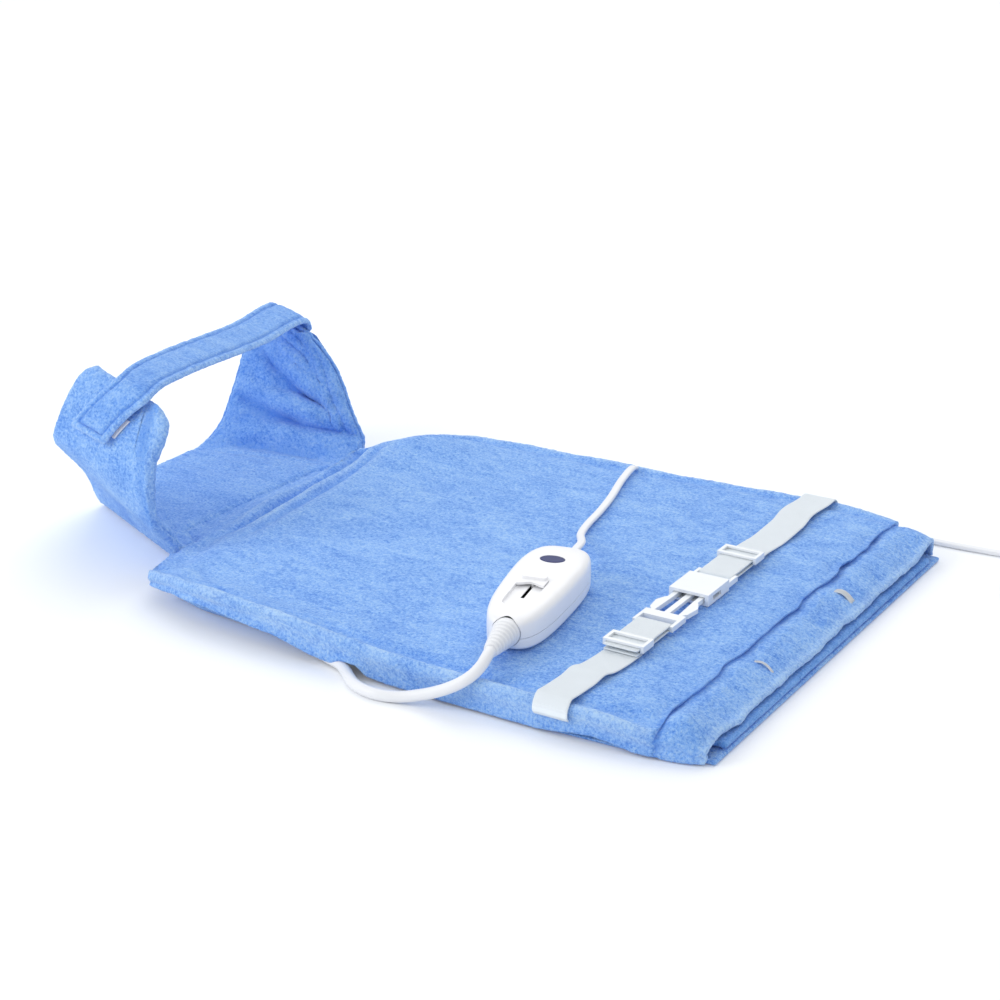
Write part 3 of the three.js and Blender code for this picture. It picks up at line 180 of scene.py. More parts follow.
def between_ends(value, start, end, blend, outside=0):
    """One between two ends and zero beyond; outside is the share of each blend that lies past its end."""
    return smooth_step((value - start) / blend + outside) * smooth_step((end - value) / blend + outside)


def round_crown(depth, run):
    """Quarter of a circle from zero at the edge to one at the run's end."""
    left = 1 - np.clip(depth / run, 0, 1)
    return np.sqrt(np.maximum(1 - left * left, 0))


def bump_share(offset, run):
    near = offset / run
    return np.exp(-near * near)


def fold(offset, width):
    """A soft valley with a low swell on both sides."""
    return bump_share(offset, width) - half * bump_share(np.abs(offset / width) - swell_place, 1)


def crowding(count, pull):
    """Shares from 0 to 1 that lie closer together at both ends."""
    straight = np.linspace(0, 1, count)
    eased = (1 - np.cos(straight * math.pi)) * half
    return straight + (eased - straight) * pull


def smoothed(values, reach, **ends):
    """A row of values blended with its neighbours; ends says how the row goes on past them."""
    window = np.hanning(2 * reach + 3)[1:-1]
    return np.convolve(np.pad(values, reach, **ends), window / window.sum(), mode="valid")


def curve_points(points, shares):
    """Points on the centripetal curve through a row of points, as in the CAD part."""
    rows = np.array([tuple(point) for point in points])
    first = rows[0] * 2 - rows[1]
    last = rows[-1] * 2 - rows[-2]
    padded_rows = np.vstack([first, rows, last])
    place = np.clip(np.asarray(shares, float), 0, 1) * (len(rows) - 1)
    index = np.minimum(np.floor(place).astype(int), len(rows) - 2)
    weight = (place - index)[..., None]
    before, start, end, after = (padded_rows[index + step] for step in range(4))
    gap_before = np.sqrt(np.linalg.norm(start - before, axis=-1, keepdims=True))
    gap = np.sqrt(np.linalg.norm(end - start, axis=-1, keepdims=True))
    gap_after = np.sqrt(np.linalg.norm(after - end, axis=-1, keepdims=True))
    leave = (start - before) / gap_before - (end - before) / (gap_before + gap) + (end - start) / gap
    reach = (end - start) / gap - (after - start) / (gap + gap_after) + (after - end) / gap_after
    leave = leave * gap
    reach = reach * gap
    square = 3 * (end - start) - 2 * leave - reach
    cube = 2 * (start - end) + leave + reach
    return start + weight * (leave + weight * (square + weight * cube))


def dense_path(points, steps):
    count = (len(points) - 1) * steps
    return [Vector(row) for row in curve_points(points, np.arange(count + 1) / count)]


# Meshes
def make_object(name, vertices, faces, material=None):
    mesh = bpy.data.meshes.new(name)
    mesh.from_pydata([tuple(vertex) for vertex in vertices], [], [tuple(face) for face in faces])
    mesh.validate()
    mesh.shade_smooth()
    piece = bpy.data.objects.new(name, mesh)
    bpy.context.scene.collection.objects.link(piece)
    if material:
        mesh.materials.append(material)
    return piece


def ring_faces(rings, count):
    """Faces of a tube of rings with both ends closed."""
    faces = []
    for ring in range(rings - 1):
        for side in range(count):
            after = (side + 1) % count
            base = ring * count
            faces.append((base + side, base + after, base + count + after, base + count + side))
    faces.append(tuple(reversed(range(count))))
    faces.append(tuple(range((rings - 1) * count, rings * count)))
    return faces


def tube(name, path, section, material):
    """A section of (side, up) points carried along a path, its side kept level."""
    vertices = []
    last = len(path) - 1
    for index, point in enumerate(path):
        ahead = path[min(index + 1, last)] - path[max(index - 1, 0)]
        ahead.normalize()
        side = Vector((-ahead.y, ahead.x, 0)).normalized()
        rise = ahead.cross(side)
        vertices.extend(point + side * across - rise * above for across, above in section)
    return make_object(name, vertices, ring_faces(len(path), len(section)), material)


def round_section(diameter, sides):
    radius = diameter * half
    angles = [turn * side / sides for side in range(sides)]
    return [(radius * math.cos(angle), radius * math.sin(angle)) for angle in angles]


def twin_section(width, thickness, sides):
    """Outline of two round cores side by side with a shallow groove between them."""
    radius = thickness * half
    offset = width * half - radius
    section = []
    for side in range(sides):
        angle = turn * side / sides
        pull = 1 - groove_share * math.exp(-(math.cos(angle) / groove_spread) ** 2)
        across = offset * math.tanh(math.cos(angle) / core_spread) + radius * math.cos(angle)
        section.append((across, radius * math.sin(angle) * pull))
    return section


def grid_normals(middle):
    normal = np.cross(np.gradient(middle, axis=0), np.gradient(middle, axis=1))
    return normal / np.maximum(np.linalg.norm(normal, axis=-1, keepdims=True), near_zero)


def sheet_mesh(name, middle, thickness, material, rim_steps=3, detail=None, painted_light=None):
    """A padded sheet round a grid of middle points, with a half-round rim and an optional upper detail.

    The per-point painted light values lie above zero for a painted highlight on the pile and below zero for
    painted shade.
    """
    middle = np.asarray(middle, float)
    rows, columns = middle.shape[:2]
    thick = np.broadcast_to(np.asarray(thickness, float), (rows, columns))
    normal = grid_normals(middle)
    upper = middle + normal * thick[..., None] * half
    lower = middle - normal * thick[..., None] * half
    if detail is not None:
        upper = upper + normal * detail[..., None]
    border = [(0, column) for column in range(columns)]
    border += [(row, columns - 1) for row in range(1, rows)]
    border += [(rows - 1, column) for column in range(columns - 2, -1, -1)]
    border += [(row, 0) for row in range(rows - 2, 0, -1)]
    vertices = [*upper.reshape(-1, 3), *lower.reshape(-1, 3)]
    grid = rows * columns
    faces = []
    for row in range(rows - 1):
        for column in range(columns - 1):
            corner = row * columns + column
            quad = (corner, corner + columns, corner + columns + 1, corner + 1)
            faces.append(quad)
            faces.append(tuple(grid + index for index in reversed(quad)))
    count = len(border)
    loops = [[row * columns + column for row, column in border]]
    for step in range(1, rim_steps):
        angle = math.pi * step / rim_steps
        loop = []
        for row, column in border:
            inner = middle[min(max(row, 1), rows - 2), min(max(column, 1), columns - 2)]
            outward = middle[row, column] - inner
            outward -= normal[row, column] * np.dot(outward, normal[row, column])
            outward /= max(np.linalg.norm(outward), near_zero)
            radius = thick[row, column] * half
            loop.append(len(vertices))
            vertices.append(middle[row, column] + outward * radius * math.sin(angle)
                            + normal[row, column] * radius * math.cos(angle))
        loops.append(loop)
    loops.append([grid + row * columns + column for row, column in border])
    for upper_loop, lower_loop in zip(loops, loops[1:]):
        for index in range(count):
            after = (index + 1) % count
            faces.append((upper_loop[index], upper_loop[after], lower_loop[after], lower_loop[index]))
    piece = make_object(name, vertices, faces, material)
    if painted_light is not None:
        rim = np.array([painted_light[row, column] for row, column in border])
        values = np.concatenate([painted_light.ravel(), painted_light.ravel(), np.tile(rim, rim_steps - 1)])
        attribute = piece.data.attributes.new("painted_light", "FLOAT", "POINT")
        attribute.data.foreach_set("value", values.astype(np.float32))
    return piece


# Reliefs of cloth, and the patches of the cover's painted light: width of the hills, and where in the noise
# they start
patterns = {
    "cover wide hills": (70 * mm, 3.7), "cover small hills": (26 * mm, 8.1), "cover painted light patches": (24 * mm, 2.7),
    "cover nap": (3.4 * mm, 1.9), "cover pile": (3.4 * mm, 9.1), "seam ridge": (55 * mm, 5.3),
    "side wall": (30 * mm, 6.2), "hem groove": (30 * mm, 1.3), "hem line": (34 * mm, 2.2),
    "hem swell": (15 * mm, 6.6), "hem nap": (3 * mm, 4.4), "hem pile": (2.6 * mm, 3.1),
    "mouth line": (38 * mm, 5.1), "mouth rise": (19 * mm, 8.8), "inner hem pile": (3 * mm, 7.7),
    "padding": (30 * mm, 3.3), "collar wide hills": (60 * mm, 11.3), "collar small hills": (22 * mm, 4.9),
    "collar pile": (3 * mm, 5.5), "strap wide hills": (14 * mm, 2.4), "strap small hills": (9 * mm, 7.4),
    "strap pile": (2.6 * mm, 8.8), "webbing": (18 * mm, 4.1),
}


def relief(pattern, points, octaves=2):
    """Smooth noise from -1 to 1 at each point of a grid."""
    size, start = patterns[pattern]
    offset = Vector((start, start * half, -start))
    flat = np.asarray(points, float).reshape(-1, 3) / size
    values = [noise.fractal(Vector(row) + offset, 1, 2, octaves) for row in flat]
    return np.array(values).reshape(np.asarray(points).shape[:-1])


def relief_at(pattern, x, y, octaves=2):
    x, y = np.broadcast_arrays(x, y)
    return relief(pattern, np.stack([x, y, np.zeros_like(x)], axis=-1), octaves)


# Materials
class Nodes:
    """A principled material with helpers that add and link its nodes."""

    def __init__(self, name, color, roughness, **sockets):
        self.material = bpy.data.materials.new(name)
        self.material.use_nodes = True
        self.tree = self.material.node_tree
        self.shader = self.tree.nodes["Principled BSDF"]
        self.shader.inputs["Base Color"].default_value = (*color, 1)
        self.shader.inputs["Roughness"].default_value = roughness
        for socket, value in sockets.items():
            self.shader.inputs[socket.replace("_", " ")].default_value = value
        self.place = self.tree.nodes.new("ShaderNodeTexCoord").outputs["Object"]

    def add(self, kind, inputs=None, **settings):
        node = self.tree.nodes.new(kind)
        for key, value in settings.items():
            setattr(node, key, value)
        for key, value in (inputs or {}).items():
            if isinstance(value, bpy.types.NodeSocket):
                self.tree.links.new(value, node.inputs[key])
            else:
                node.inputs[key].default_value = value
        return node

    def scaled(self, scale, turned=(0, 0, 0)):
        node = self.add("ShaderNodeMapping", {"Vector": self.place, "Scale": scale, "Rotation": turned})
        return node.outputs["Vector"]

    def noise(self, size, detail=2, roughness=half, vector=None, distortion=0):
        inputs = {
            "Vector": vector or self.place, "Scale": 1 / size, "Detail": detail, "Roughness": roughness,
            "Distortion": distortion,
        }
        return self.add("ShaderNodeTexNoise", inputs).outputs["Fac"]

    def math(self, operation, one, other=0, *rest):
        inputs = dict(enumerate((one, other, *rest)))
        return self.add("ShaderNodeMath", inputs, operation=operation).outputs[0]

    def between(self, value, low, high):
        inputs = {"Value": value, "To Min": low, "To Max": high}
        return self.add("ShaderNodeMapRange", inputs).outputs["Result"]

    def ramp(self, value, stops):
        node = self.add("ShaderNodeValToRGB", {"Fac": value})
        elements = node.color_ramp.elements
        while len(elements) < len(stops):
            elements.new(1)
        for element, (place, color) in zip(elements, stops):
            element.position = place
            element.color = (*color, 1)
        return node.outputs["Color"]

    def mix(self, share, one, other):
        node = self.add("ShaderNodeMix", {"Factor": share}, data_type="RGBA")
        sockets = [socket for socket in node.inputs if socket.type == "RGBA"]
        for socket, value in zip(sockets, (one, other)):
            if isinstance(value, bpy.types.NodeSocket):
                self.tree.links.new(value, socket)
            else:
                socket.default_value = (*value, 1)
        return next(socket for socket in node.outputs if socket.type == "RGBA")

    def bump(self, height, distance, strength=1, below=None):
        inputs = {"Height": height, "Distance": distance, "Strength": strength}
        if below:
            inputs["Normal"] = below
        return self.add("ShaderNodeBump", inputs).outputs["Normal"]

    def finish(self, color=None, normal=None, roughness=None):
        for socket, value in (("Base Color", color), ("Normal", normal), ("Roughness", roughness)):
            if value:
                self.tree.links.new(value, self.shader.inputs[socket])
        return self.material


# Sizes of the materials' detail
patch_size = 42 * mm
streak_size = 9 * mm
tuft_size = 2.1 * mm
pile_depth = 1.2 * mm
hair_depth = 0.35 * mm
patch_weight = 0.24
streak_weight = 0.14
tuft_weight = 0.62
brushed_scale = (1, 2.2, 1.3)
brushed_turn = 0.5
# Painted highlight and painted shade on the fleece: their strengths and the highlight's pale blue
painted_highlight_share = 1.3
painted_shade_share = 0.65
painted_highlight_blue = (0.6, 0.8, 1)
sheen_blue = (0.72, 0.85, 1, 1)
flow_size = 24 * mm
grain_size = 0.35 * mm
grain_depth = 0.02 * mm
weave_patch_size = 14 * mm
weave_depth = 0.28 * mm
webbing_rib = 1.4 * mm
thread_rib = 0.5 * mm
lining_fibre = 1.1 * mm
lining_cloud_share = 8
lining_scale = (1, 2.6, 1)
lining_turn = 0.7
drawing_size = 0.5 * mm
drawing_scale = (0.2, 3, 3)
board_cell = 9 * mm
board_depth = 0.05 * mm


def fleece(name, light, middle, dark):
    """Short plush pile: tufts about two millimetres wide, brushed into lighter and darker patches."""
    made = Nodes(name, middle, roughness=0.92, Specular_IOR_Level=0.15, Sheen_Weight=0.32,
                 Sheen_Roughness=0.45, Sheen_Tint=sheen_blue)
    brushed = made.scaled(brushed_scale, (0, 0, brushed_turn))
    patches = made.noise(patch_size, detail=3, roughness=0.6, vector=brushed, distortion=1.2)
    streaks = made.noise(streak_size, detail=3, roughness=0.6, vector=brushed, distortion=0.8)
    tufts = made.noise(tuft_size, detail=3, roughness=0.8)
    fibres = made.noise(tuft_size * half, detail=1)
    level = made.math("MULTIPLY", patches, patch_weight)
    level = made.math("MULTIPLY_ADD", streaks, streak_weight, level)
    level = made.math("MULTIPLY_ADD", tufts, tuft_weight, level)
    color = made.ramp(level, [(0.4, dark), (0.5, middle), (0.6, light)])
    # Painted light from the mesh's per-point attribute: positive values mix in a painted highlight of pale
    # blue, negative values a painted shade of the dark tone
    painted_light = made.add("ShaderNodeAttribute", attribute_name="painted_light").outputs["Fac"]
    painted_highlight = made.math("MULTIPLY", made.math("MAXIMUM", painted_light), made.math("MULTIPLY", tufts, painted_highlight_share))
    painted_shade = made.math("MULTIPLY", made.math("MAXIMUM", made.math("MULTIPLY", painted_light, -1)), painted_shade_share)
    color = made.mix(painted_shade, made.mix(painted_highlight, color, painted_highlight_blue), dark)
    ground = made.bump(streaks, pile_depth, strength=0.5)
    pile = made.bump(tufts, pile_depth, strength=0.9, below=ground)
    return made.finish(color, made.bump(fibres, hair_depth, strength=0.7, below=pile))


def darkened(color, share):
    return tuple(channel * share for channel in color)


def moulded(name, color, roughness, **sockets):
    """Moulded plastic with a fine grain, faint flow marks and slightly uneven gloss."""
    made = Nodes(name, color, roughness, **sockets)
    flow = made.noise(flow_size)
    fine = made.noise(grain_size, roughness=0.6)
    shade = made.mix(flow, color, darkened(color, 0.94))
    gloss = made.between(flow, roughness * 0.85, roughness * 1.2)
    return made.finish(shade, made.bump(fine, grain_depth), gloss)


def woven(name, color, rib):
    """Woven tape: fine ribs across it and a herringbone of threads."""
    made = Nodes(name, color, roughness=0.62, Specular_IOR_Level=0.3, Sheen_Weight=0.12)
    threads = []
    for direction, scale, distortion in (("Y", 1 / rib, 0.4), ("X", half / rib, 0.6)):
        inputs = {"Vector": made.place, "Scale": scale, "Distortion": distortion, "Detail": 1}
        threads.append(made.add("ShaderNodeTexWave", inputs, bands_direction=direction).outputs["Fac"])
    across, along = threads
    weave = made.math("MULTIPLY", across, made.math("ADD", along, half))
    uneven = made.noise(weave_patch_size)
    shade = made.mix(made.math("ADD", weave, uneven), darkened(color, 0.93), color)
    return made.finish(shade, made.bump(weave, weave_depth, strength=0.7))


def felted(name, light, dark, size):
    """Loose fibre cloth: soft clouds and short fibres."""
    made = Nodes(name, light, roughness=0.95, Specular_IOR_Level=0.1, Sheen_Weight=0.2)
    brushed = made.scaled(lining_scale, (0, 0, lining_turn))
    clouds = made.noise(size * lining_cloud_share, detail=3, roughness=0.6)
    fibres = made.noise(size, detail=3, roughness=0.7, vector=brushed, distortion=1.2)
    level = made.math("ADD", made.math("MULTIPLY", clouds, half), made.math("MULTIPLY", fibres, half))
    color = made.ramp(level, [(0.36, dark), (0.62, light)])
    return made.finish(color, made.bump(fibres, size * half, strength=0.6))


def brushed_metal(name, color, roughness):
    """Plated metal with fine drawing marks."""
    made = Nodes(name, color, roughness, Metallic=1)
    marks = made.noise(drawing_size, detail=3, roughness=0.7, vector=made.scaled(drawing_scale))
    shade = made.mix(marks, color, darkened(color, 0.7))
    gloss = made.between(marks, roughness * 0.7, roughness * 1.3)
    return made.finish(shade, made.bump(marks, grain_depth), gloss)


def board_laminate():
    """Green circuit board with copper tracks showing through the varnish."""
    made = Nodes("circuit_board", (0.03, 0.2, 0.09), roughness=0.35)
    inputs = {"Vector": made.place, "Scale": 1 / board_cell, "Randomness": 0.9}
    cells = made.add("ShaderNodeTexVoronoi", inputs, feature="DISTANCE_TO_EDGE").outputs["Distance"]
    tracks = made.ramp(cells, [(0.05, (0.12, 0.42, 0.16)), (0.09, (0.025, 0.17, 0.08))])
    return made.finish(tracks, made.bump(cells, board_depth, strength=0.4))


fleece_blue = fleece("fleece_blue", (0.385, 0.615, 0.98), (0.24, 0.465, 0.93), (0.1, 0.28, 0.8))
# A darker copy of the fleece, as painted shade on the inner hem inside the pocket's mouth
fleece_inside = fleece("fleece_inside", (0.25, 0.47, 0.9), (0.15, 0.36, 0.82), (0.08, 0.24, 0.66))
cord_jacket = moulded("cord_jacket", (0.86, 0.87, 0.9), 0.42)
shell_plastic = moulded("shell_plastic", (0.93, 0.93, 0.95), 0.34, Coat_Weight=0.12, Coat_Roughness=0.3)
buckle_plastic = moulded("buckle_plastic", (0.87, 0.9, 0.93), 0.3, Coat_Weight=0.15, Coat_Roughness=0.25)
lens_plastic = moulded("lens_plastic", (0.01, 0.02, 0.13), 0.3, Specular_IOR_Level=0.25)
dark_plastic = moulded("dark_plastic", (0.03, 0.032, 0.036), 0.45)
wire_jacket = moulded("wire_jacket", (0.75, 0.68, 0.5), 0.5)
webbing_white = woven("webbing", (0.88, 0.94, 0.99), webbing_rib)
thread_white = woven("thread", (0.9, 0.93, 0.96), thread_rib)
lining_cloth = felted("lining", (0.9, 0.9, 0.92), (0.75, 0.76, 0.8), lining_fibre)
steel = brushed_metal("steel", (0.62, 0.63, 0.65), 0.3)
board_green = board_laminate()


# Stage: floor, light and camera
def make_stage():
    corners = [(-1, -1), (1, -1), (1, 1), (-1, 1)]
    floor = make_object("floor", [(x * floor_reach, y * floor_reach, 0) for x, y in corners], [range(4)])
    made = Nodes("floor_paper", floor_white, roughness=0.9, Specular_IOR_Level=0.1,
                 Emission_Color=(1, 1, 1, 1))
    seen = made.add("ShaderNodeLightPath").outputs
    shown = made.math("MAXIMUM", seen["Is Camera Ray"], seen["Is Glossy Ray"])
    shown = made.math("MAXIMUM", shown, seen["Is Transmission Ray"])
    made.tree.links.new(made.math("MULTIPLY", shown, floor_lift), made.shader.inputs["Emission Strength"])
    floor.data.materials.append(made.material)

    world = bpy.data.worlds.new("studio")
    world.use_nodes = True
    background = world.node_tree.nodes["Background"]
    background.inputs["Color"].default_value = world_color
    background.inputs["Strength"].default_value = world_strength
    bpy.context.scene.world = world

    for name, energy, size, place in lamps:
        light = bpy.data.lights.new(name, "AREA")
        light.energy = energy
        light.size = size
        lamp = bpy.data.objects.new(name, light)
        lamp.location = place
        lamp.rotation_euler = (-Vector(place)).to_track_quat("-Z", "Y").to_euler()
        bpy.context.scene.collection.objects.link(lamp)

    camera_data = bpy.data.cameras.new("camera")
    camera_data.lens = camera_lens
    camera_data.sensor_width = camera_sensor
    camera = bpy.data.objects.new("camera", camera_data)
    camera.location = camera_place
    camera.rotation_euler = (math.radians(camera_tilt_degrees), 0, math.radians(camera_heading_degrees))
    bpy.context.scene.collection.objects.link(camera)
    bpy.context.scene.camera = camera
    bpy.context.scene.view_settings.view_transform = "Standard"


make_stage()


# Cords
turns_per_layer = coil_turns / coil_layers
coil_outer_radius = coil_mean_radius + coil_pitch * turns_per_layer * half


def coil_path():
    """The flat mains cord wound in and out again in four layers, climbing a layer where it turns back."""
    points = [Vector((coil_x - mains_width, coil_y + coil_outer_radius, coil_first_z))]
    steps = round(coil_turns * coil_steps_per_turn)
    for step in range(steps + 1):
        turned = coil_turns * step / steps
        layer_share = turned / turns_per_layer
        layer = min(math.floor(layer_share), coil_layers - 1)
        along = layer_share - layer
        inward = along if layer % 2 == 0 else 1 - along
        radius = coil_outer_radius - coil_pitch * turns_per_layer * inward
        climbed = sum(
            float(smooth_step((turned - start * turns_per_layer) / coil_climb_turns + half))
            for start in range(1, coil_layers)
        )
        angle = turn * (quarter - turned)
        height = coil_first_z + coil_layer_rise * climbed
        points.append(Vector((coil_x + radius * math.cos(angle), coil_y + radius * math.sin(angle), height)))
    last_z = coil_first_z + coil_layer_rise * (coil_layers - 1)
    points.append(Vector((coil_x + coil_outer_radius, coil_y - mains_width, last_z)))
    return points


def make_cords():
    lead_path = dense_path(metres(lead_points), cord_steps)
    lead = tube("pad_lead_cord", lead_path, round_section(lead_diameter, lead_sides), cord_jacket)
    place_piece(lead, "root", "cord_jacket", "pad_lead")

    mains_path = dense_path(metres(mains_points), cord_steps) + coil_path()
    mains_path += dense_path(metres(tail_points), cord_steps)
    section = twin_section(mains_width, mains_thickness, mains_sides)
    mains = tube("mains_cord", mains_path, section, cord_jacket)
    place_piece(mains, "root", "cord_jacket", "mains_cord_run", "mains_cord_coil", "mains_cord_tail")


make_cords()


# Pad outline and heights, as in the CAD part but with its corners eased
def eased_edge(shares):
    places = np.linspace(0, 1, outline_steps)
    widths = np.interp(places, *zip(*shares))
    reach = max(int(outline_blend / pad_length * len(places)), 1)
    keep = smooth_step(np.minimum(places, 1 - places) * len(places) / reach)
    return places, widths * (1 - keep) + smoothed(widths, reach, mode="edge") * keep


near_outline = eased_edge(near_edge_shares)
far_outline = eased_edge(far_edge_shares)


def along_pad(x, shares):
    """Value at a place along the pad, from rows or arrays of length shares and values."""
    return np.interp((x - neck_line_x) / pad_length, *shares)


def near_edge(x):
    return -pad_half_width * along_pad(x, near_outline)


def far_edge(x):
    return pad_half_width * along_pad(x, far_outline)


def across_pad(x, share, inset=0):
    """Place across the pad, by the share of the way from its near to its far edge."""
    return near_edge(x) + inset + (far_edge(x) - near_edge(x) - inset * 2) * share


def edge_depth(x, y):
    return np.minimum(y - near_edge(x), far_edge(x) - y)


def edge_rim(x, y):
    """Zero at the side edges, rising round to one where the cover lies flat."""
    return round_crown(edge_depth(x, y), rim_run)


def crease(x, y):
    fade = smooth_step(1 - (x - neck_line_x) / crease_run)
    wave = np.cos((x - neck_line_x + y * quarter) / crease_pitch * turn)
    return crease_height * fade * (1 + wave) * half


def cover_underside(x, y):
    neck = neck_rise_share + (1 - neck_rise_share) * smooth_step((x - neck_line_x) / neck_run)
    foot = smooth_step((hem_start_x - x) / hem_band + 1)
    hem_z = lower_hem_top_z + mouth_height + hem_thickness - cover_fabric
    full_z = seam_z + (cover_top_z - seam_z) * neck
    middle_z = np.where(x < insert_foot_x, full_z, hem_z + (full_z - hem_z) * foot)
    rim = edge_rim(x, y)
    return seam_z + (middle_z - seam_z) * rim + crease(x, y) * rim


def hem_underside(x, y):
    share = (x - hem_start_x) / hem_band
    start_z = cover_underside(np.full_like(x, hem_start_x), y) + cover_fabric - hem_thickness
    rim = edge_rim(np.full_like(x, hem_start_x), y)
    end_z = seam_z + (lower_hem_top_z + mouth_height - seam_z) * rim
    return np.maximum(start_z + (end_z - start_z) * share, seam_z)


# Pile of the fleece pieces
nap_height = 0.35 * mm
lowest_fibre = 0.1 * mm


def rough_pile(piece, height, pattern):
    """Moves each point of a fleece piece along its normal by fine noise."""
    mesh = piece.data
    size, start = patterns[pattern]
    offset = Vector((start, -start, start * half))
    places = [(vertex.co.copy(), vertex.normal.copy()) for vertex in mesh.vertices]
    for vertex, (place, normal) in zip(mesh.vertices, places):
        moved = place + normal * height * noise.noise(place / size + offset)
        moved.z = max(moved.z, lowest_fibre)
        vertex.co = moved
    mesh.update()


# Upper cover
top_spacing = 2.2 * mm
puff_low = 1.6 * mm
crest_height = 3.2 * mm       # seam ridge along the upper side edge
crest_depth = 3.6 * mm
crest_spread = 2.4 * mm
dip_height = 2.6 * mm         # the cloth sinks a little behind that ridge
dip_depth = 11 * mm
dip_spread = 5 * mm
neck_fold_near = (-197 * mm, -53 * mm)   # deep fold where the cover meets the collar
neck_fold_far = (-184 * mm, 137 * mm)
neck_fold_depth = 5 * mm
# Shallower folds beside it: near end, far end, depth share, width
neck_folds = (
    ((-160 * mm, -63 * mm), (-166 * mm, 126 * mm), 1, 5.5 * mm),
    ((-139 * mm, -58 * mm), (-150 * mm, 128 * mm), 0.6, 5 * mm),
    ((-176 * mm, -66 * mm), (-178 * mm, 120 * mm), 0.35, 4 * mm),
)
fan_start_y = -92 * mm
fan_run_y = 60 * mm
overlap_near_y = -88 * mm
overlap_far_y = 88 * mm
overlap_fade = 30 * mm
overlap_end_z = 12.9 * mm
shoulder_lift = 11 * mm       # the far shoulder is pulled up by the collar's wing
shoulder_x = -132 * mm
shoulder_y = 138 * mm
shoulder_run_x = 62 * mm
shoulder_run_y = 40 * mm
hem_wave = 3.4 * mm           # sideways wander of the stitched line
hem_groove_run = 8 * mm
hem_groove_depth = 2.2 * mm
mouth_close = 4.6 * mm        # the mouth's layers lie close together except at its corners
mouth_close_run = 30 * mm
mouth_corner_run = 46 * mm
foot_drop_run = 60 * mm
foot_drop_share = 0.6
wall_bottom_z = 2.3 * mm
wall_bulge = -2 * mm          # the side walls draw in under the seam ridge
wall_shares = (0.2, 0.4, 0.6, 0.8, 1)
lead_gap_start_x = 19 * mm    # the side wall stays up where the lead passes in
lead_gap_end_x = 52 * mm
lead_gap_blend = 11 * mm
lead_gap_height = 10.5 * mm
side_notch_x = 226 * mm       # the side wall lifts off the floor here
side_notch_run = 26 * mm
side_notch_rise = 4.5 * mm
wall_wander = 0.7 * mm
corner_reach = 6 * mm         # the near neck corner runs on beside the collar's wing
corner_start_y = -118 * mm
corner_fade = 12 * mm
corner_slope = 0.37           # and is cut off at a slant
edge_raise = 8 * mm           # the side edges stand up as a seam ridge
edge_raise_start = 60 * mm
edge_raise_end = 46 * mm
near_lift = 8 * mm            # the near edge stands off the floor beside the neck
near_lift_shares = [(0, 0.5), (0.08, 0.72), (0.16, 1), (0.3, 0.95), (0.4, 0.42), (0.5, 0.1), (0.58, 0)]
near_lift_run_y = 22 * mm
lifted_wall_shares = [(0, 0.35), (0.1, 0.6), (0.3, 1), (0.37, 1.25)]
lifted_wall = 14 * mm
lower_lift_share = 1.5
lower_lift_run = 18 * mm
grid_tries = 5
hem_stitch_share = 0.36
hem_groove_share = 0.5
hem_overlap = 1.2 * mm
hem_mouth_share = 0.72
hem_plump = 0.2
mouth_wave = 2.6 * mm
mouth_rise = 2.2 * mm
lump_setback = 17 * mm        # the near foot corner is bunched up
lump_x = foot_x - lump_setback
lump_depth = 18 * mm
lump_run = 13 * mm
lump_height = 4.5 * mm
dent_setback = 50 * mm
dent_x = foot_x - dent_setback
dent_depth = 7 * mm
dent_run = 11 * mm
dent_height = 4 * mm
hem_puff = 1.12
corner_drop = 4.5 * mm
corner_drop_run = 40 * mm
corner_drop_reach = 26 * mm
lower_inset = 6 * mm
lower_tuck = 10 * mm          # the lower layer lies further in beside the neck
insert_inset = 26 * mm
slit_end_blend = 5 * mm
lower_hem_puff = 4.4 * mm
hem_spacing = top_spacing * (half + quarter)
hem_rim_steps = 6
lower_spacing = top_spacing * 2
lower_hem_gap = 1.2 * mm
lower_hem_columns = 160
lower_hem_rows = 16
soft_rim_steps = 4


def line_x(start, end, y):
    return start[0] + (end[0] - start[0]) * (y - start[1]) / (end[1] - start[1])


def corner_share(y):
    return smooth_step((corner_start_y - y) / corner_fade)


def lift_at(x):
    return near_lift * along_pad(x, zip(*near_lift_shares))


def edge_lift(x, y):
    """Height that the seam ridges, and the near side beside the neck, stand above the plain outline."""
    standing = smooth_step((x - neck_line_x) / edge_raise_start)
    standing = standing * smooth_step((hem_start_x - x) / edge_raise_end)
    ridge = edge_raise * standing * (1 - edge_rim(x, y))
    return ridge + lift_at(x) * bump_share(np.maximum(y - near_edge(x), 0), near_lift_run_y)


def neck_start(y):
    """The cover's end at the neck, with the slant at its near corner."""
    past_corner = np.maximum(corner_start_y - y, 0)
    return neck_line_x - overlap_reach(y) - corner_reach * corner_share(y) + corner_slope * past_corner


def overlap_reach(y):
    """How far the cover runs over the collar's base, up to the deep fold."""
    reach = neck_line_x - line_x(neck_fold_near, neck_fold_far, y)
    return reach * between_ends(y, overlap_near_y, overlap_far_y, overlap_fade, half)


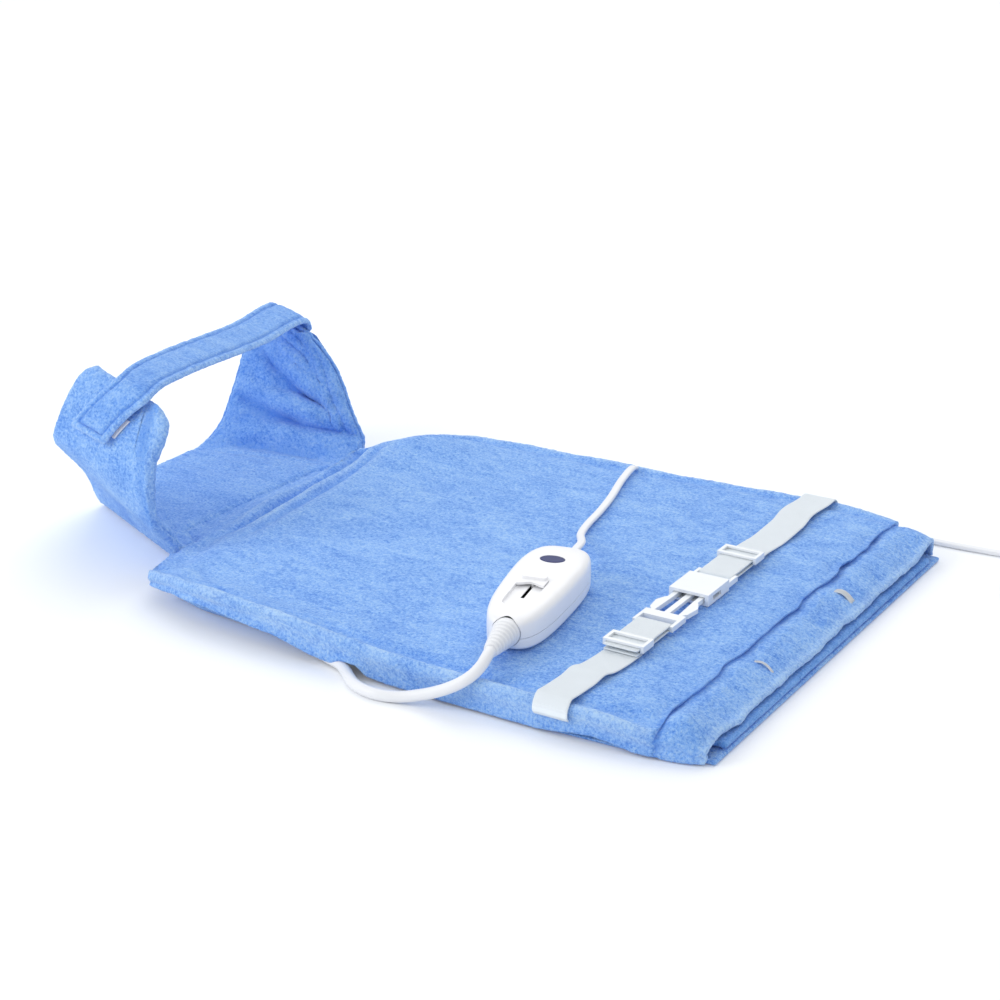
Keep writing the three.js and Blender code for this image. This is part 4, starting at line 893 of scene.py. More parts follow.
def pad_grid(start_x, end_x, edge_inset, spacing, walls=False):
    """Grid of x, y and wall share over the pad; walls adds rows down its two long sides."""
    rows = int(pad_half_width * 2 / spacing) + 1
    share = crowding(rows, half)[None, :]
    starts = np.full_like(share, neck_line_x)
    ends = np.full_like(share, foot_x)
    for _ in range(grid_tries):
        if callable(start_x):
            starts = start_x(across_pad(starts, share))
        if callable(end_x):
            ends = end_x(across_pad(ends, share))
    starts = starts if callable(start_x) else starts * 0 + start_x
    ends = ends if callable(end_x) else ends * 0 + end_x
    columns = int((ends.max() - starts.min()) / spacing) + 1
    along = np.linspace(0, 1, columns)[:, None]
    x = starts + (ends - starts) * along
    inset = edge_inset(x) if callable(edge_inset) else edge_inset
    y = across_pad(x, share, inset)
    wall = np.zeros_like(x)
    if walls:
        shares = np.array(wall_shares)[None, :] * np.ones((columns, 1))
        bulge = wall_bulge * np.sin(shares * math.pi)
        near_x = x[:, :1] + 0 * shares
        far_x = x[:, -1:] + 0 * shares
        x = np.hstack([near_x[:, ::-1], x, far_x])
        y = np.hstack([(y[:, :1] - bulge)[:, ::-1], y, y[:, -1:] + bulge])
        wall = np.hstack([shares[:, ::-1], wall, shares])
    return x, y, wall


def hem_line(y):
    return hem_start_x + hem_wave * relief_at("hem line", y, 0)


def foot_drop(x):
    """How far the side seams sink towards the floor near the foot corners."""
    return rim_rise * foot_drop_share * smooth_step((x - foot_x) / foot_drop_run + 1)


def wall_bottom(x, y, edge_z, radius):
    """Height of the side wall's lower edge."""
    near_side = y < 0
    gap = between_ends(x, lead_gap_start_x, lead_gap_end_x, lead_gap_blend) * near_side
    low = wall_bottom_z + radius - cover_fabric * half + wall_wander * (1 + relief_at("side wall", x, y))
    low = low + side_notch_rise * bump_share(x - side_notch_x, side_notch_run) * near_side
    hang = lifted_wall * along_pad(x, zip(*lifted_wall_shares))
    low = np.where(near_side, np.maximum(edge_z - hang, low), low)
    high = np.maximum(lead_gap_height, low)
    return np.minimum(low + (high - low) * gap, edge_z - fabric_gap)


def hem_groove(x, y):
    """Depth of the soft groove along the hem's stitched line."""
    uneven = 1 + relief_at("hem groove", x, y)
    return hem_groove_depth * bump_share(hem_line(y) - x, hem_groove_run) * uneven


def cover_detail(x, y):
    """Fine shape of the cover's upper face: puffs, seam ridge with the dip behind it, groove and nap."""
    depth = edge_depth(x, y)
    inner = smooth_step(depth / rim_run)
    hills = relief_at("cover wide hills", x, y) * half + relief_at("cover small hills", x, y) * quarter
    along = relief_at("seam ridge", x, y) * half + 1 - quarter
    detail = -puff_low * inner * np.clip(half - hills, 0, 1)
    detail += crest_height * along * bump_share(depth - crest_depth, crest_spread)
    detail -= dip_height * along * bump_share(depth - dip_depth, dip_spread)
    detail -= hem_groove(x, y) * inner
    detail -= dent_height * corner_lump(x, y, dent_x, dent_depth, dent_run) * inner
    return detail + nap_height * relief_at("cover nap", x, y, 1)


def neck_fold_shape(x, y):
    """The folds that fan out from the collar's near end, as a share of their depth."""
    folds = sum(
        fold(x - line_x(near, far, y), width) * depth_share for near, far, depth_share, width in neck_folds
    )
    return folds * smooth_step((y - fan_start_y) / fan_run_y)


def cover_painted_light(x, y, wall):
    """Painted highlight along the seam ridge; painted shade in the dip behind it, in the neck folds and along
    the hem line.
    """
    depth = edge_depth(x, y)
    patchy = 1 + relief_at("cover painted light patches", x, y)
    painted_light = bump_share(depth - crest_depth, crest_spread) * patchy * half
    painted_light -= bump_share(depth - dip_depth, dip_spread) * patchy * quarter
    painted_light -= bump_share(hem_line(y) - x, crest_spread) * half
    painted_light -= neck_fold_shape(x, y) * (half + quarter)
    return painted_light * (1 - wall)


def cover_middle(x, y):
    """Height of the upper layer's middle, with its overlap on the collar and the lifted far shoulder."""
    rim = edge_rim(x, y)
    z = cover_underside(np.maximum(x, neck_line_x), y) + cover_fabric * half
    shoulder = bump_share(x - shoulder_x, shoulder_run_x) * bump_share(y - shoulder_y, shoulder_run_y)
    z = z + shoulder_lift * shoulder * (half + half * rim)
    past = np.clip((neck_line_x - x) / np.maximum(overlap_reach(y), fabric_gap), 0, 1) * (1 - corner_share(y))
    end_z = overlap_end_z - cover_fabric * half
    z = z + (end_z - z) * smooth_step(past) * (x < neck_line_x)
    fading = smooth_step(edge_depth(x, y) / rim_run) * (1 - smooth_step(past / half))
    z = z - neck_fold_depth * neck_fold_shape(x, y) * fading
    return z + edge_lift(x, y) - foot_drop(x) * (1 - rim)


def wrap_down(x, y, z, wall, radius):
    edge_z = np.where(y < 0, z[:, len(wall_shares)][:, None], z[:, -len(wall_shares) - 1][:, None])
    bottom = wall_bottom(x, y, edge_z, radius)
    return np.where(wall > 0, edge_z + (bottom - edge_z) * wall, z)


def hem_corner_drop(x, y):
    """The free near corner of the foot hem hangs down to the floor."""
    toward_foot = smooth_step((x - foot_x) / corner_drop_reach + 1)
    toward_side = smooth_step((near_edge(x) + corner_drop_run - y) / corner_drop_run)
    return corner_drop * toward_foot * toward_side


def corner_lump(x, y, centre_x, centre_depth, run):
    return bump_share(x - centre_x, run) * bump_share(y - near_edge(x) - centre_depth, run)


def foot_line(y):
    return foot_x + mouth_wave * relief_at("mouth line", y, 0)


def hem_thick(x, y):
    share = np.clip((x - hem_line(y)) / hem_band, 0, 1)
    rise = smooth_step(share / hem_stitch_share)
    fall = smooth_step((1 - share) / hem_stitch_share)
    profile = hem_groove_share + (hem_puff - hem_groove_share) * rise
    profile = profile - (hem_puff - hem_mouth_share) * (1 - fall)
    plump = 1 + hem_plump * relief_at("hem swell", x, y) * rise
    return hem_thickness * profile * plump * (half + half * edge_rim(x, y))


def hem_middle(x, y):
    rim = edge_rim(x, y)
    at_mouth = smooth_step((x - foot_x) / mouth_close_run + 1)
    corners = smooth_step(edge_depth(x, y) / mouth_corner_run)
    wave = mouth_rise * (relief_at("mouth rise", y, 0) + 1) * half
    z = hem_underside(x, y) + hem_thickness * half * (half + half * rim)
    z = z + (wave - mouth_close * corners) * at_mouth - hem_groove(x, y) * rim
    z = z + corner_lump(x, y, lump_x, lump_depth, lump_run) * lump_height
    return z - foot_drop(x) * (1 - rim) - hem_corner_drop(x, y)


def lower_edge(x):
    """Inset of the lower layer from the pad's outline; deeper where the lead passes in."""
    gap = between_ends(x, slit_start_x, slit_start_x + slit_length, slit_end_blend, 1)
    inset = lower_inset + lower_tuck * smooth_step((slit_start_x - x) / lower_tuck)
    return inset + (slit_depth - lower_inset + cover_fabric) * gap


def make_cover():
    x, y, wall = pad_grid(neck_start, hem_line, cover_fabric * half, top_spacing, walls=True)
    z = wrap_down(x, y, cover_middle(x, y), wall, cover_fabric * half)
    upper = sheet_mesh("cover_upper", np.stack([x, y, z], axis=-1), cover_fabric, fleece_blue,
                       detail=cover_detail(x, y) * (1 - wall), painted_light=cover_painted_light(x, y, wall))
    rough_pile(upper, nap_height, "cover pile")
    place_piece(upper, "root", "fleece", "cover_top")

    radius = hem_thickness * quarter
    x, y, wall = pad_grid(lambda y: hem_line(y) - hem_overlap, foot_line, radius, hem_spacing, walls=True)
    points = np.stack([x, y, wrap_down(x, y, hem_middle(x, y), wall, radius)], axis=-1)
    # Painted light: a painted highlight along the mouth's rolled edge and painted shade along the stitched
    # line
    painted_light = bump_share(x - foot_line(y), crest_depth) * half - bump_share(x - hem_line(y), crest_depth)
    hem = sheet_mesh("foot_hem", points, hem_thick(x, y), fleece_blue, rim_steps=hem_rim_steps,
                     detail=nap_height * relief("hem nap", points, 1), painted_light=painted_light)
    rough_pile(hem, nap_height * 2, "hem pile")
    place_piece(hem, "root", "fleece", "cover_top_hem")

    end_x = foot_x + lower_hem_reach - cover_fabric * half
    x, y, _ = pad_grid(lambda y: np.maximum(neck_start(y), neck_line_x) + lower_tuck, end_x, lower_edge,
                       lower_spacing)
    lifted = smooth_step((insert_inset - (y - near_edge(x))) / lower_lift_run)
    z = cover_fabric * half + fabric_gap + lift_at(x) * lower_lift_share * lifted
    lower = sheet_mesh("cover_lower", np.stack([x, y, z], axis=-1), cover_fabric, fleece_blue)
    place_piece(lower, "root", "fleece", "cover_bottom")

    across = crowding(lower_hem_columns, half)[None, :]
    inward = 1 - crowding(lower_hem_rows, half)[:, None]
    x = foot_x + lower_hem_reach - cover_fabric - lower_hem_band * inward + 0 * across
    y = across_pad(x, across, lower_hem_inset)
    z = np.full_like(y, cover_fabric + lower_hem_gap + lower_hem_puff * half)
    # The inner hem takes the darker fleece copy as painted shade
    inner_hem = sheet_mesh("lower_hem", np.stack([x, y, z], axis=-1), lower_hem_puff, fleece_inside,
                           rim_steps=hem_rim_steps)
    rough_pile(inner_hem, nap_height, "inner hem pile")
    place_piece(inner_hem, "root", "fleece_inside", "cover_bottom_hem")


make_cover()


# Thread tacks that hold the foot hem together
tack_x = 289.5 * mm
tack_length = 14 * mm
strand_diameter = 0.9 * mm
tack_arch = 1.6 * mm
tack_sink = 0.8 * mm
tack_steps = 10
strand_sides = 8
# Piece, CAD piece, place across the pad and number of strands
tacks = (
    ("thread_tack_near", "bar_tack_near", -78.9 * mm, 3),
    ("thread_tack_far", "bar_tack_far", 54.9 * mm, 8),
)


def make_tacks():
    shares = np.linspace(0, 1, tack_steps + 1)
    bow = np.sin(shares * math.pi)
    for name, node, centre_y, strands in tacks:
        vertices = []
        faces = []
        for strand in range(strands):
            aside = (strand - (strands - 1) * half) * strand_diameter * (1 - quarter)
            lift = strand_diameter * half * (1 + strand % 2)
            x = tack_x + tack_length * (shares - half)
            y = centre_y + aside + strand_diameter * half * bow
            top = hem_middle(x, y) + hem_thick(x, y) * half
            z = top - tack_sink + (tack_arch + tack_sink) * bow + lift
            path = [Vector(row) for row in np.stack([x, y, z], axis=-1)]
            piece = tube(name, path, round_section(strand_diameter, strand_sides), thread_white)
            offset = len(vertices)
            vertices.extend(vertex.co.copy() for vertex in piece.data.vertices)
            faces.extend(tuple(index + offset for index in face.vertices) for face in piece.data.polygons)
            bpy.data.objects.remove(piece)
        place_piece(make_object(name, vertices, faces, thread_white), "root", "thread", node)


make_tacks()


# Insert: soft layers inside the cover
insert_start_x = -117 * mm
insert_end_x = 250 * mm
insert_spacing = 6 * mm
# Piece, CAD piece, low and high face, setback of its edge and unevenness
insert_layers = (
    ("insert_bottom_cloth", "insert_case_bottom", 3.5 * mm, 4.4 * mm, 0, 0),
    ("insert_bottom_padding", "wadding_bottom", 4.8 * mm, 9.8 * mm, 3 * mm, 0.25 * mm),
    ("insert_heater_cloth", "heater_sheet", 10.2 * mm, 11.2 * mm, 3 * mm, 0),
    ("insert_top_padding", "wadding_top", 14.3 * mm, 20.1 * mm, 3 * mm, 0.25 * mm),
    ("insert_top_cloth", "insert_case_top", 20.5 * mm, 21.4 * mm, 0, 0),
)
entry_start_x = -8 * mm
entry_end_x = 20 * mm
entry_reach = 14 * mm


def insert_edge(x):
    """Inset of the insert's layers, with a pocket for the lead's entry block."""
    return insert_inset + entry_reach * between_ends(x, entry_start_x, entry_end_x, slit_end_blend, 1)


def make_insert():
    for name, node, low_z, high_z, inset, uneven in insert_layers:
        edge = insert_edge if inset else insert_inset
        x, y, _ = pad_grid(insert_start_x + inset, insert_end_x - inset, edge, insert_spacing)
        thick = high_z - low_z
        points = np.stack([x, y, np.full_like(x, (low_z + high_z) * half)], axis=-1)
        to_end = np.minimum(x - x.min(), x.max() - x)
        crown = half + half * round_crown(np.minimum(to_end, edge_depth(x, y) - insert_inset), thick * 2)
        thick = (thick - uneven) * crown + uneven * relief("padding", points)
        layer = sheet_mesh(name, points, thick, lining_cloth, rim_steps=soft_rim_steps)
        place_piece(layer, "root", "lining", node)


make_insert()


# Collar: one padded piece from the left wing's tip over the base to the right wing's tip
collar_depth = 136.6 * mm
collar_half_width = 150 * mm
collar_height = 145 * mm
collar_thickness = 14 * mm
wing_thickness = 11 * mm
collar_head_x = neck_line_x - collar_depth
collar_neck_x = neck_line_x - fabric_gap
near_base_head = 30 * mm
near_base_neck = 96 * mm
far_base_head = 58 * mm
far_base_neck = 90 * mm
base_mid_z = collar_thickness * half
wing_rise = 0.5 * mm
wing_start = 14 * mm
wing_setback = 4 * mm
# Edges of the wings: shares of the collar's depth, half width and height
left_head_shares = [
    (0.988, -0.4, 0.25), (0.925, -0.647, 0.497), (0.821, -0.807, 0.634),
    (0.756, -0.733, 0.841), (0.69, -0.647, 0.986),
]
left_neck_shares = [
    (0, -0.827, 0.193), (0, -0.93, 0.31), (0, -0.947, 0.538), (0, -0.893, 0.731), (0.045, -0.793, 0.869),
]
right_head_shares = [
    (0.93, 0.633, 0.166), (0.916, 0.767, 0.359), (0.923, 0.887, 0.552), (0.945, 0.987, 0.745),
]
right_neck_shares = [
    (0, 0.88, 0.15), (0.124, 0.907, 0.29), (0.298, 0.98, 0.524), (0.523, 0.993, 0.731),
]


def collar_point(shares, setback=0):
    depth_share, side_share, height_share = shares
    x = neck_line_x - max(collar_depth * depth_share, setback)
    return (x, collar_half_width * side_share, collar_height * height_share)


def wing_edge(x, start_y, side, shares, setback):
    start_z = base_mid_z + wing_rise
    start = [(x, side * (start_y + fabric_gap), start_z), (x, side * (start_y + wing_start), start_z)]
    return start + [collar_point(row, setback) for row in shares]


left_wing = (
    wing_edge(collar_neck_x, near_base_neck, -1, left_neck_shares, wing_setback),
    wing_edge(collar_head_x, near_base_head, -1, left_head_shares, 0),
)
right_wing = (
    wing_edge(collar_head_x, far_base_head, 1, right_head_shares, 0),
    wing_edge(collar_neck_x, far_base_neck, 1, right_neck_shares, wing_setback),
)
probe_share = 0.01


def between_edges(edges, u, v):
    first = curve_points(edges[0], v)
    second = curve_points(edges[1], v)
    return first + (second - first) * np.asarray(u, float)[..., None]


def wing_surface(edges, u, v, offset=0):
    """Point of a wing's middle layer, moved off it along its normal; below zero is its outer face."""
    u, v = np.broadcast_arrays(np.asarray(u, float), np.asarray(v, float))
    across = between_edges(edges, np.minimum(u + probe_share, 1), v)
    across = across - between_edges(edges, np.maximum(u - probe_share, 0), v)
    along = between_edges(edges, u, np.minimum(v + probe_share, 1))
    along = along - between_edges(edges, u, np.maximum(v - probe_share, 0))
    normal = np.cross(across, along)
    normal /= np.linalg.norm(normal, axis=-1, keepdims=True)
    return between_edges(edges, u, v) + normal * np.asarray(offset, float)[..., None]


collar_spacing = 2 * mm
collar_blend_rows = 5
edge_round = 6 * mm
pillow_run = 34 * mm
edge_thin = 0.2
pillow_share = 0.3
collar_puff = 1.7 * mm
tip_round = 15 * mm
tip_flare = 5 * mm
flare_share = 0.12
flare_start = 0.74
fold_deep = 4 * mm
fold_bend = 0.5
swell_highlight_share = 0.3
right_wing_shade = 0.4          # painted shade over the right wing
wing_shade_start = 0.08
fold_bend_top = 0.9
fold_bend_fade = 0.2
fold_fade_share = 0.25
wing_shade_run = 0.25
wing_root_share = 0.25          # the wing thins to its own thickness up to here
base_share = 0.2
# Folds on the collar: wing, start and end as shares of depth and height, depth share, width share
fold_places = [
    ("right", (0.26, 0.78), (0.8, 0.6), 1, 0.035),
    ("right", (0.36, 0.66), (0.72, 0.62), 0.7, 0.03),
    ("right", (0.08, 0.57), (0.55, 0.5), 0.9, 0.04),
    ("right", (0.1, 0.47), (0.95, 0.47), 0.6, 0.04),
    ("right", (0.08, 0.88), (0.5, 0.78), 0.5, 0.035),
    ("right", (0.5, 0.95), (0.72, 0.84), 1, 0.03),
    ("right", (0.93, 0.98), (0.86, 0.7), 0.8, 0.022),
    ("right", (0.86, 0.7), (0.93, 0.46), 0.8, 0.022),
    ("right", (0.2, 0.3), (0.8, 0.24), 0.5, 0.05),
    ("left", (0.88, 1.0), (0.9, 0.76), 0.9, 0.03),
    ("left", (0.9, 0.76), (0.97, 0.5), 0.5, 0.03),
    ("left", (0.4, 0.3), (0.9, 0.42), 0.4, 0.05),
    ("left", (0.2, 0.45), (0.55, 0.2), 0.4, 0.05),
    ("left", (0.7, 0.1), (0.95, 0.3), 0.5, 0.04),
]
under_cover_drop = 4.6 * mm
under_cover_blend = 5 * mm


def collar_lines():
    """The head-side and neck-side edge of the whole collar as dense rows of points."""
    wing_columns = int(collar_height * (1 + quarter) / collar_spacing)
    base_columns = int((near_base_neck + far_base_neck) / collar_spacing)
    heights = 1 - (1 - np.linspace(0, 1, wing_columns)) ** (1 + quarter)
    neck_left, head_left = (curve_points(edge, heights)[::-1] for edge in left_wing)
    head_right, neck_right = (curve_points(edge, heights) for edge in right_wing)
    shares = np.linspace(0, 1, base_columns + 2)[1:-1, None]
    lines = []
    for left, right in ((head_left, head_right), (neck_left, neck_right)):
        line = np.vstack([left, left[-1] + (right[0] - left[-1]) * shares, right])
        lines.append(np.stack([
            smoothed(values, collar_blend_rows, mode="reflect", reflect_type="odd") for values in line.T
        ], axis=-1))
    signed_heights = np.concatenate([-heights[::-1], np.zeros(base_columns), heights])
    return lines[0], lines[1], signed_heights


def fold_detail(u, height):
    """Depth of the folds on the collar's faces; height is below zero on the left wing."""
    detail = np.zeros_like(u)
    for side, start, end, depth_share, width_share in fold_places:
        sign = 1 if side == "right" else -1
        ahead = np.array(end) - np.array(start)
        span = np.linalg.norm(ahead)
        ahead = ahead / span
        offset_u = u - start[0]
        offset_v = height * sign - start[1]
        along = (offset_u * ahead[0] + offset_v * ahead[1]) / span
        aside = -offset_u * ahead[1] + offset_v * ahead[0]
        fade = between_ends(along, 0, 1, fold_fade_share, half)
        detail -= fold_deep * depth_share * fold(aside, width_share) * fade * (height * sign > 0)
    return detail


def make_collar():
    head, neck, height = collar_lines()
    u = crowding(int(collar_depth / collar_spacing), 1)[:, None] * np.ones((1, len(height)))
    height = height[None, :] * np.ones((len(u), 1))
    arc = np.cumsum(np.linalg.norm(np.diff(neck + head, axis=0, prepend=(neck + head)[:1]), axis=-1)) * half
    to_tip = np.minimum(arc, arc[-1] - arc)[None, :]
    wing_width = np.linalg.norm(neck - head, axis=-1)[None, :]
    inset = tip_round * (1 - round_crown(to_tip, tip_round)) / wing_width
    u = inset + u * (1 - inset * 2)
    middle = head[None] + (neck - head)[None] * u[..., None]
    near_tip = smooth_step((-height - flare_start) / (1 - flare_start) / half)
    middle[..., 0] += tip_flare * smooth_step((u - 1) / flare_share + 1) * near_tip

    # Thickness of the padding, rounded towards the edges
    lift = np.abs(height)
    root = np.clip(lift / wing_root_share, 0, 1)
    full = (collar_thickness + (wing_thickness - collar_thickness) * root) * half
    to_neck = (1 - inset - u) * wing_width + (1 - root) * pillow_run
    depth = np.minimum(np.minimum((u - inset) * wing_width, to_neck), to_tip)
    crown = edge_thin + (1 - edge_thin - pillow_share) * round_crown(depth, edge_round)
    crown = crown + pillow_share * round_crown(depth, pillow_run)
    outer = full * np.minimum(crown * (1 + pillow_share), 1)
    puff = relief("collar wide hills", middle) * half + relief("collar small hills", middle) * quarter

    # The inner face sinks under the cover's end and carries the folds
    base_part = 1 - smooth_step(lift / base_share - half)
    overlap = overlap_reach(middle[..., 1])
    covered = smooth_step((middle[..., 0] - neck_line_x + overlap) / under_cover_blend + 1)
    folds = fold_detail(u, height)
    inner = (full + puff * collar_puff + folds) * crown
    inner = inner - under_cover_drop * covered * base_part * (overlap > fabric_gap)
    bend = fold_bend * folds * (height > 0) * crown * smooth_step((fold_bend_top - height) / fold_bend_fade)
    shifted = middle + grid_normals(middle) * ((inner - outer) * half + bend)[..., None]

    # Painted light: a painted highlight along the wings' edges and on the swells beside the folds, painted
    # shade in the fold valleys and over the whole right wing
    folded = folds / fold_deep
    painted_light = bump_share(depth, crest_depth) * (1 - base_part) * quarter
    painted_light = painted_light + np.where(folded > 0, folded * swell_highlight_share, folded)
    painted_light = painted_light - right_wing_shade * smooth_step((height - wing_shade_start) / wing_shade_run)
    collar = sheet_mesh("collar_padding", shifted, inner + outer, fleece_blue, rim_steps=soft_rim_steps,
                        painted_light=painted_light)
    rough_pile(collar, nap_height * 2, "collar pile")
    place_piece(collar, "root", "fleece", "collar_base", "collar_left_wing", "collar_right_wing")


make_collar()


# Collar strap, its sewn end and the hook and loop tapes
strap_width = 38 * mm
strap_thickness = 4 * mm
strap_drop = 10 * mm
patch_thickness = 0.9 * mm
loop_tape_width = 41 * mm
hook_tape_width = 32 * mm
strap_tip_centre_share = 0.36
anchor_centre_share = 0.55
strap_start_share = 0.9625
anchor_shares = (0.72, 0.8, 0.88, 0.958)
loop_tape_shares = (0.77, 0.8, 0.83, 0.86)
hook_tape_shares = (0.76, 0.8, 0.84, 0.88)
strap_tail_shares = (0.98, 0.92, 0.86, 0.8, 0.74)
# The strap's free arch: shares of the collar's depth, half width and height
strap_free_shares = [
    (0.668, 1.046, 0.752), (0.667, 1.03, 0.786), (0.662, 0.985, 0.804), (0.652, 0.92, 0.812),
    (0.622, 0.79, 0.822), (0.566, 0.56, 0.832), (0.501, 0.28, 0.865), (0.443, 0, 0.903),
    (0.392, -0.267, 0.935), (0.349, -0.49, 0.955), (0.32, -0.64, 0.962),
]
wing_face = -(wing_thickness * half + fabric_gap)
loop_tape_offset = wing_face - patch_thickness * half
hook_tape_offset = loop_tape_offset - patch_thickness - seat_gap
strap_tail_offset = hook_tape_offset - patch_thickness * half - seat_gap - strap_thickness * half
anchor_offset = wing_face - strap_thickness * half
strap_spacing = 1.3 * mm
border_width = 5.5 * mm
strap_puff_run = border_width * 3
channel_width = 1.5 * mm
channel_depth = 1.1 * mm
strap_puff = 1.1 * mm
strap_border_highlight = 0.5
strap_shade = 0.22
strap_edge_share = 0.55
length_steps = 200


def strap_centre(height):
    """The strap's tail leans towards the head side on its way down the left wing."""
    return strap_tip_centre_share + strap_tail_shares[0] - height


def wing_row(edges, centre, height, width, offset):
    ends = wing_surface(edges, np.array([0, 1]), height)
    reach = width * half / np.linalg.norm(ends[0] - ends[1])
    return wing_surface(edges, np.array([centre - reach, centre + reach]), height, offset)


def cloth_grid(rows, spacing, width):
    """Grid over a band given by rows of two points each; its first axis runs along the band."""
    first = [row[0] for row in rows]
    second = [row[1] for row in rows]
    coarse = curve_points(first, np.linspace(0, 1, length_steps))
    length = np.linalg.norm(np.diff(coarse, axis=0), axis=-1).sum()
    along = crowding(int(length / spacing), quarter)
    across = crowding(int(width / spacing), half)[None, :, None]
    one = curve_points(first, along)[:, None]
    other = curve_points(second, along)[:, None]
    return one + (other - one) * across


def padded_band(name, grid):
    """Fleece band with a border and a stitched channel inside its edges, fuller on its free face."""
    along = np.linalg.norm(np.diff(grid[:, grid.shape[1] // 2], axis=0), axis=-1)
    along = np.concatenate([[0], np.cumsum(along)])[:, None]
    across = np.linalg.norm(grid - grid[:, :1], axis=-1)
    depth = np.minimum(np.minimum(across, across[:, -1:] - across), np.minimum(along, along[-1] - along))
    crown = strap_edge_share + (1 - strap_edge_share) * round_crown(depth, border_width * half)
    channel = bump_share(depth - border_width, channel_width)
    puff = strap_puff * round_crown(depth, strap_puff_run) * (1 + relief("strap wide hills", grid) * half)
    extra = puff + collar_puff * quarter * relief("strap small hills", grid)
    extra = extra - channel_depth * channel * (1 + half)
    shifted = grid - grid_normals(grid) * (extra * half)[..., None]
    # Painted light: a painted highlight along the rounded border, painted shade in the stitched channel and
    # over the whole strap
    painted_light = strap_border_highlight * bump_share(depth, border_width * half) - channel - strap_shade
    band = sheet_mesh(name, shifted, strap_thickness * crown + extra, fleece_blue, rim_steps=soft_rim_steps,
                      painted_light=painted_light)
    rough_pile(band, nap_height, "strap pile")
    return band


def make_strap():
    sewn_side = Vector((strap_width, 0, -strap_drop)).normalized() * strap_width * half
    start_row = wing_row(right_wing, anchor_centre_share, strap_start_share, strap_width, anchor_offset)[::-1]
    tail_rows = [
        wing_row(left_wing, strap_centre(share), share, strap_width, strap_tail_offset)
        for share in strap_tail_shares
    ]
    tail_side = Vector((tail_rows[0][0] - tail_rows[0][1]) * half)
    free_rows = []
    for index, shares in enumerate(strap_free_shares):
        centre = Vector(collar_point(shares))
        side = sewn_side.lerp(tail_side, float(smooth_step(index / (len(strap_free_shares) - 1))))
        free_rows.append((centre + side, centre - side))
    grid = cloth_grid([start_row, *free_rows, *tail_rows], strap_spacing, strap_width)
    strap = padded_band("neck_strap_band", grid)
    place_piece(strap, "neck_strap", "fleece", "collar_strap")

    rows = [
        wing_row(right_wing, anchor_centre_share, share, strap_width, anchor_offset)
        for share in anchor_shares
    ]
    anchor = padded_band("strap_sewn_end", cloth_grid(rows, strap_spacing, strap_width))
    place_piece(anchor, "root", "fleece", "collar_strap_anchor")
    tapes = (
        ("loop_tape", "loop_patch", "root", loop_tape_shares, loop_tape_width, loop_tape_offset),
        ("hook_tape", "hook_patch", "neck_strap", hook_tape_shares, hook_tape_width, hook_tape_offset),
    )
    for name, node, body, shares, width, offset in tapes:
        rows = [wing_row(left_wing, strap_centre(share), share, width, offset) for share in shares]
        tape = sheet_mesh(name, cloth_grid(rows, strap_spacing, width), patch_thickness, lining_cloth)
        place_piece(tape, body, "lining", node)


make_strap()


# Belt webbing
belt_x = 205 * mm
webbing_width = 25 * mm
webbing_thickness = 1.3 * mm
run_z = pad_top_z + fabric_gap + webbing_thickness * half
loop_lower_z = run_z + webbing_thickness + fabric_gap
loop_opening = 2 * mm
loop_upper_z = loop_lower_z + webbing_thickness + loop_opening
loop_mid_z = (loop_lower_z + loop_upper_z) * half
loop_bend_radius = (loop_upper_z - loop_lower_z) * half
near_run_end_y = -117.75 * mm
near_loop_end_y = -125 * mm
near_bend_y = -75.3 * mm
far_bend_y = 19.3 * mm
far_loop_end_y = 71 * mm
far_loop_lower_y = 79.5 * mm
far_drop_y = 103.5 * mm
webbing_spacing = 1.6 * mm
webbing_lift = 0.5 * mm
wave_shift_share = 1.4
# Webbing over the pad's side ridge: distance in from the side, height
crown_rows = (
    (-0.6 * mm, 14 * mm), (-2.6 * mm, 16.5 * mm), (-2.9 * mm, 19.5 * mm), (-1.8 * mm, 22.6 * mm),
    (1 * mm, 26 * mm), (4 * mm, 27.8 * mm), (8 * mm, 27.5 * mm), (14 * mm, 27 * mm), (20 * mm, 27 * mm),
)
# Waves of the webbing: belt part, its middle along the belt, run, lift and sideways shift
webbing_waves = (
    ("near", -163 * mm, 7.5 * mm, 2.2 * mm, 0),
    ("near", -166 * mm, 16 * mm, 0, -2.4 * mm),
    ("near", -205 * mm, 24 * mm, 0, -6 * mm),
    ("far", 128 * mm, 16 * mm, 2 * mm, 2.4 * mm),
    ("far", 165 * mm, 16 * mm, 1 * mm, -2 * mm),
)
selvedge = 0.22 * mm
selvedge_run = selvedge * 3
webbing_columns = 13
bend_steps = 11


def ribbon(name, rows, part):
    """Flat webbing along rows of y and z, with waves and a slightly thicker selvedge."""
    places = np.array(rows)
    spans = np.linalg.norm(np.diff(places, axis=0), axis=-1)
    along = np.concatenate([[0], np.cumsum(spans)])
    steps = np.linspace(0, along[-1], int(along[-1] / webbing_spacing))
    y = np.interp(steps, along, places[:, 0])
    z = np.interp(steps, along, places[:, 1])
    shift = np.zeros_like(y)
    for wave_part, centre, run, lift, aside in webbing_waves:
        if wave_part == part:
            z = z + lift * bump_share(y - centre, run)
            shift = shift + aside * bump_share(y - centre, run * wave_shift_share)
    across = crowding(webbing_columns, quarter)[None, :]
    grid_x = belt_x + shift[:, None] + webbing_width * (across - half)
    points = np.stack([grid_x, y[:, None] + 0 * across, z[:, None] + 0 * across], axis=-1)
    cup = np.cos((across - half) * math.pi)
    points[..., 2] += webbing_lift * half * relief("webbing", points) * cup * (part != "loop")
    edge = np.minimum(across, 1 - across) * webbing_width
    thick = webbing_thickness - selvedge + selvedge * bump_share(edge - selvedge_run, selvedge_run)
    return sheet_mesh(name, points, thick, webbing_white)


def bend_rows(centre_y, direction):
    radius = loop_bend_radius
    angles = np.linspace(-half, half, bend_steps) * math.pi
    return [(centre_y + direction * radius * math.cos(angle), loop_mid_z + radius * math.sin(angle))
            for angle in angles]


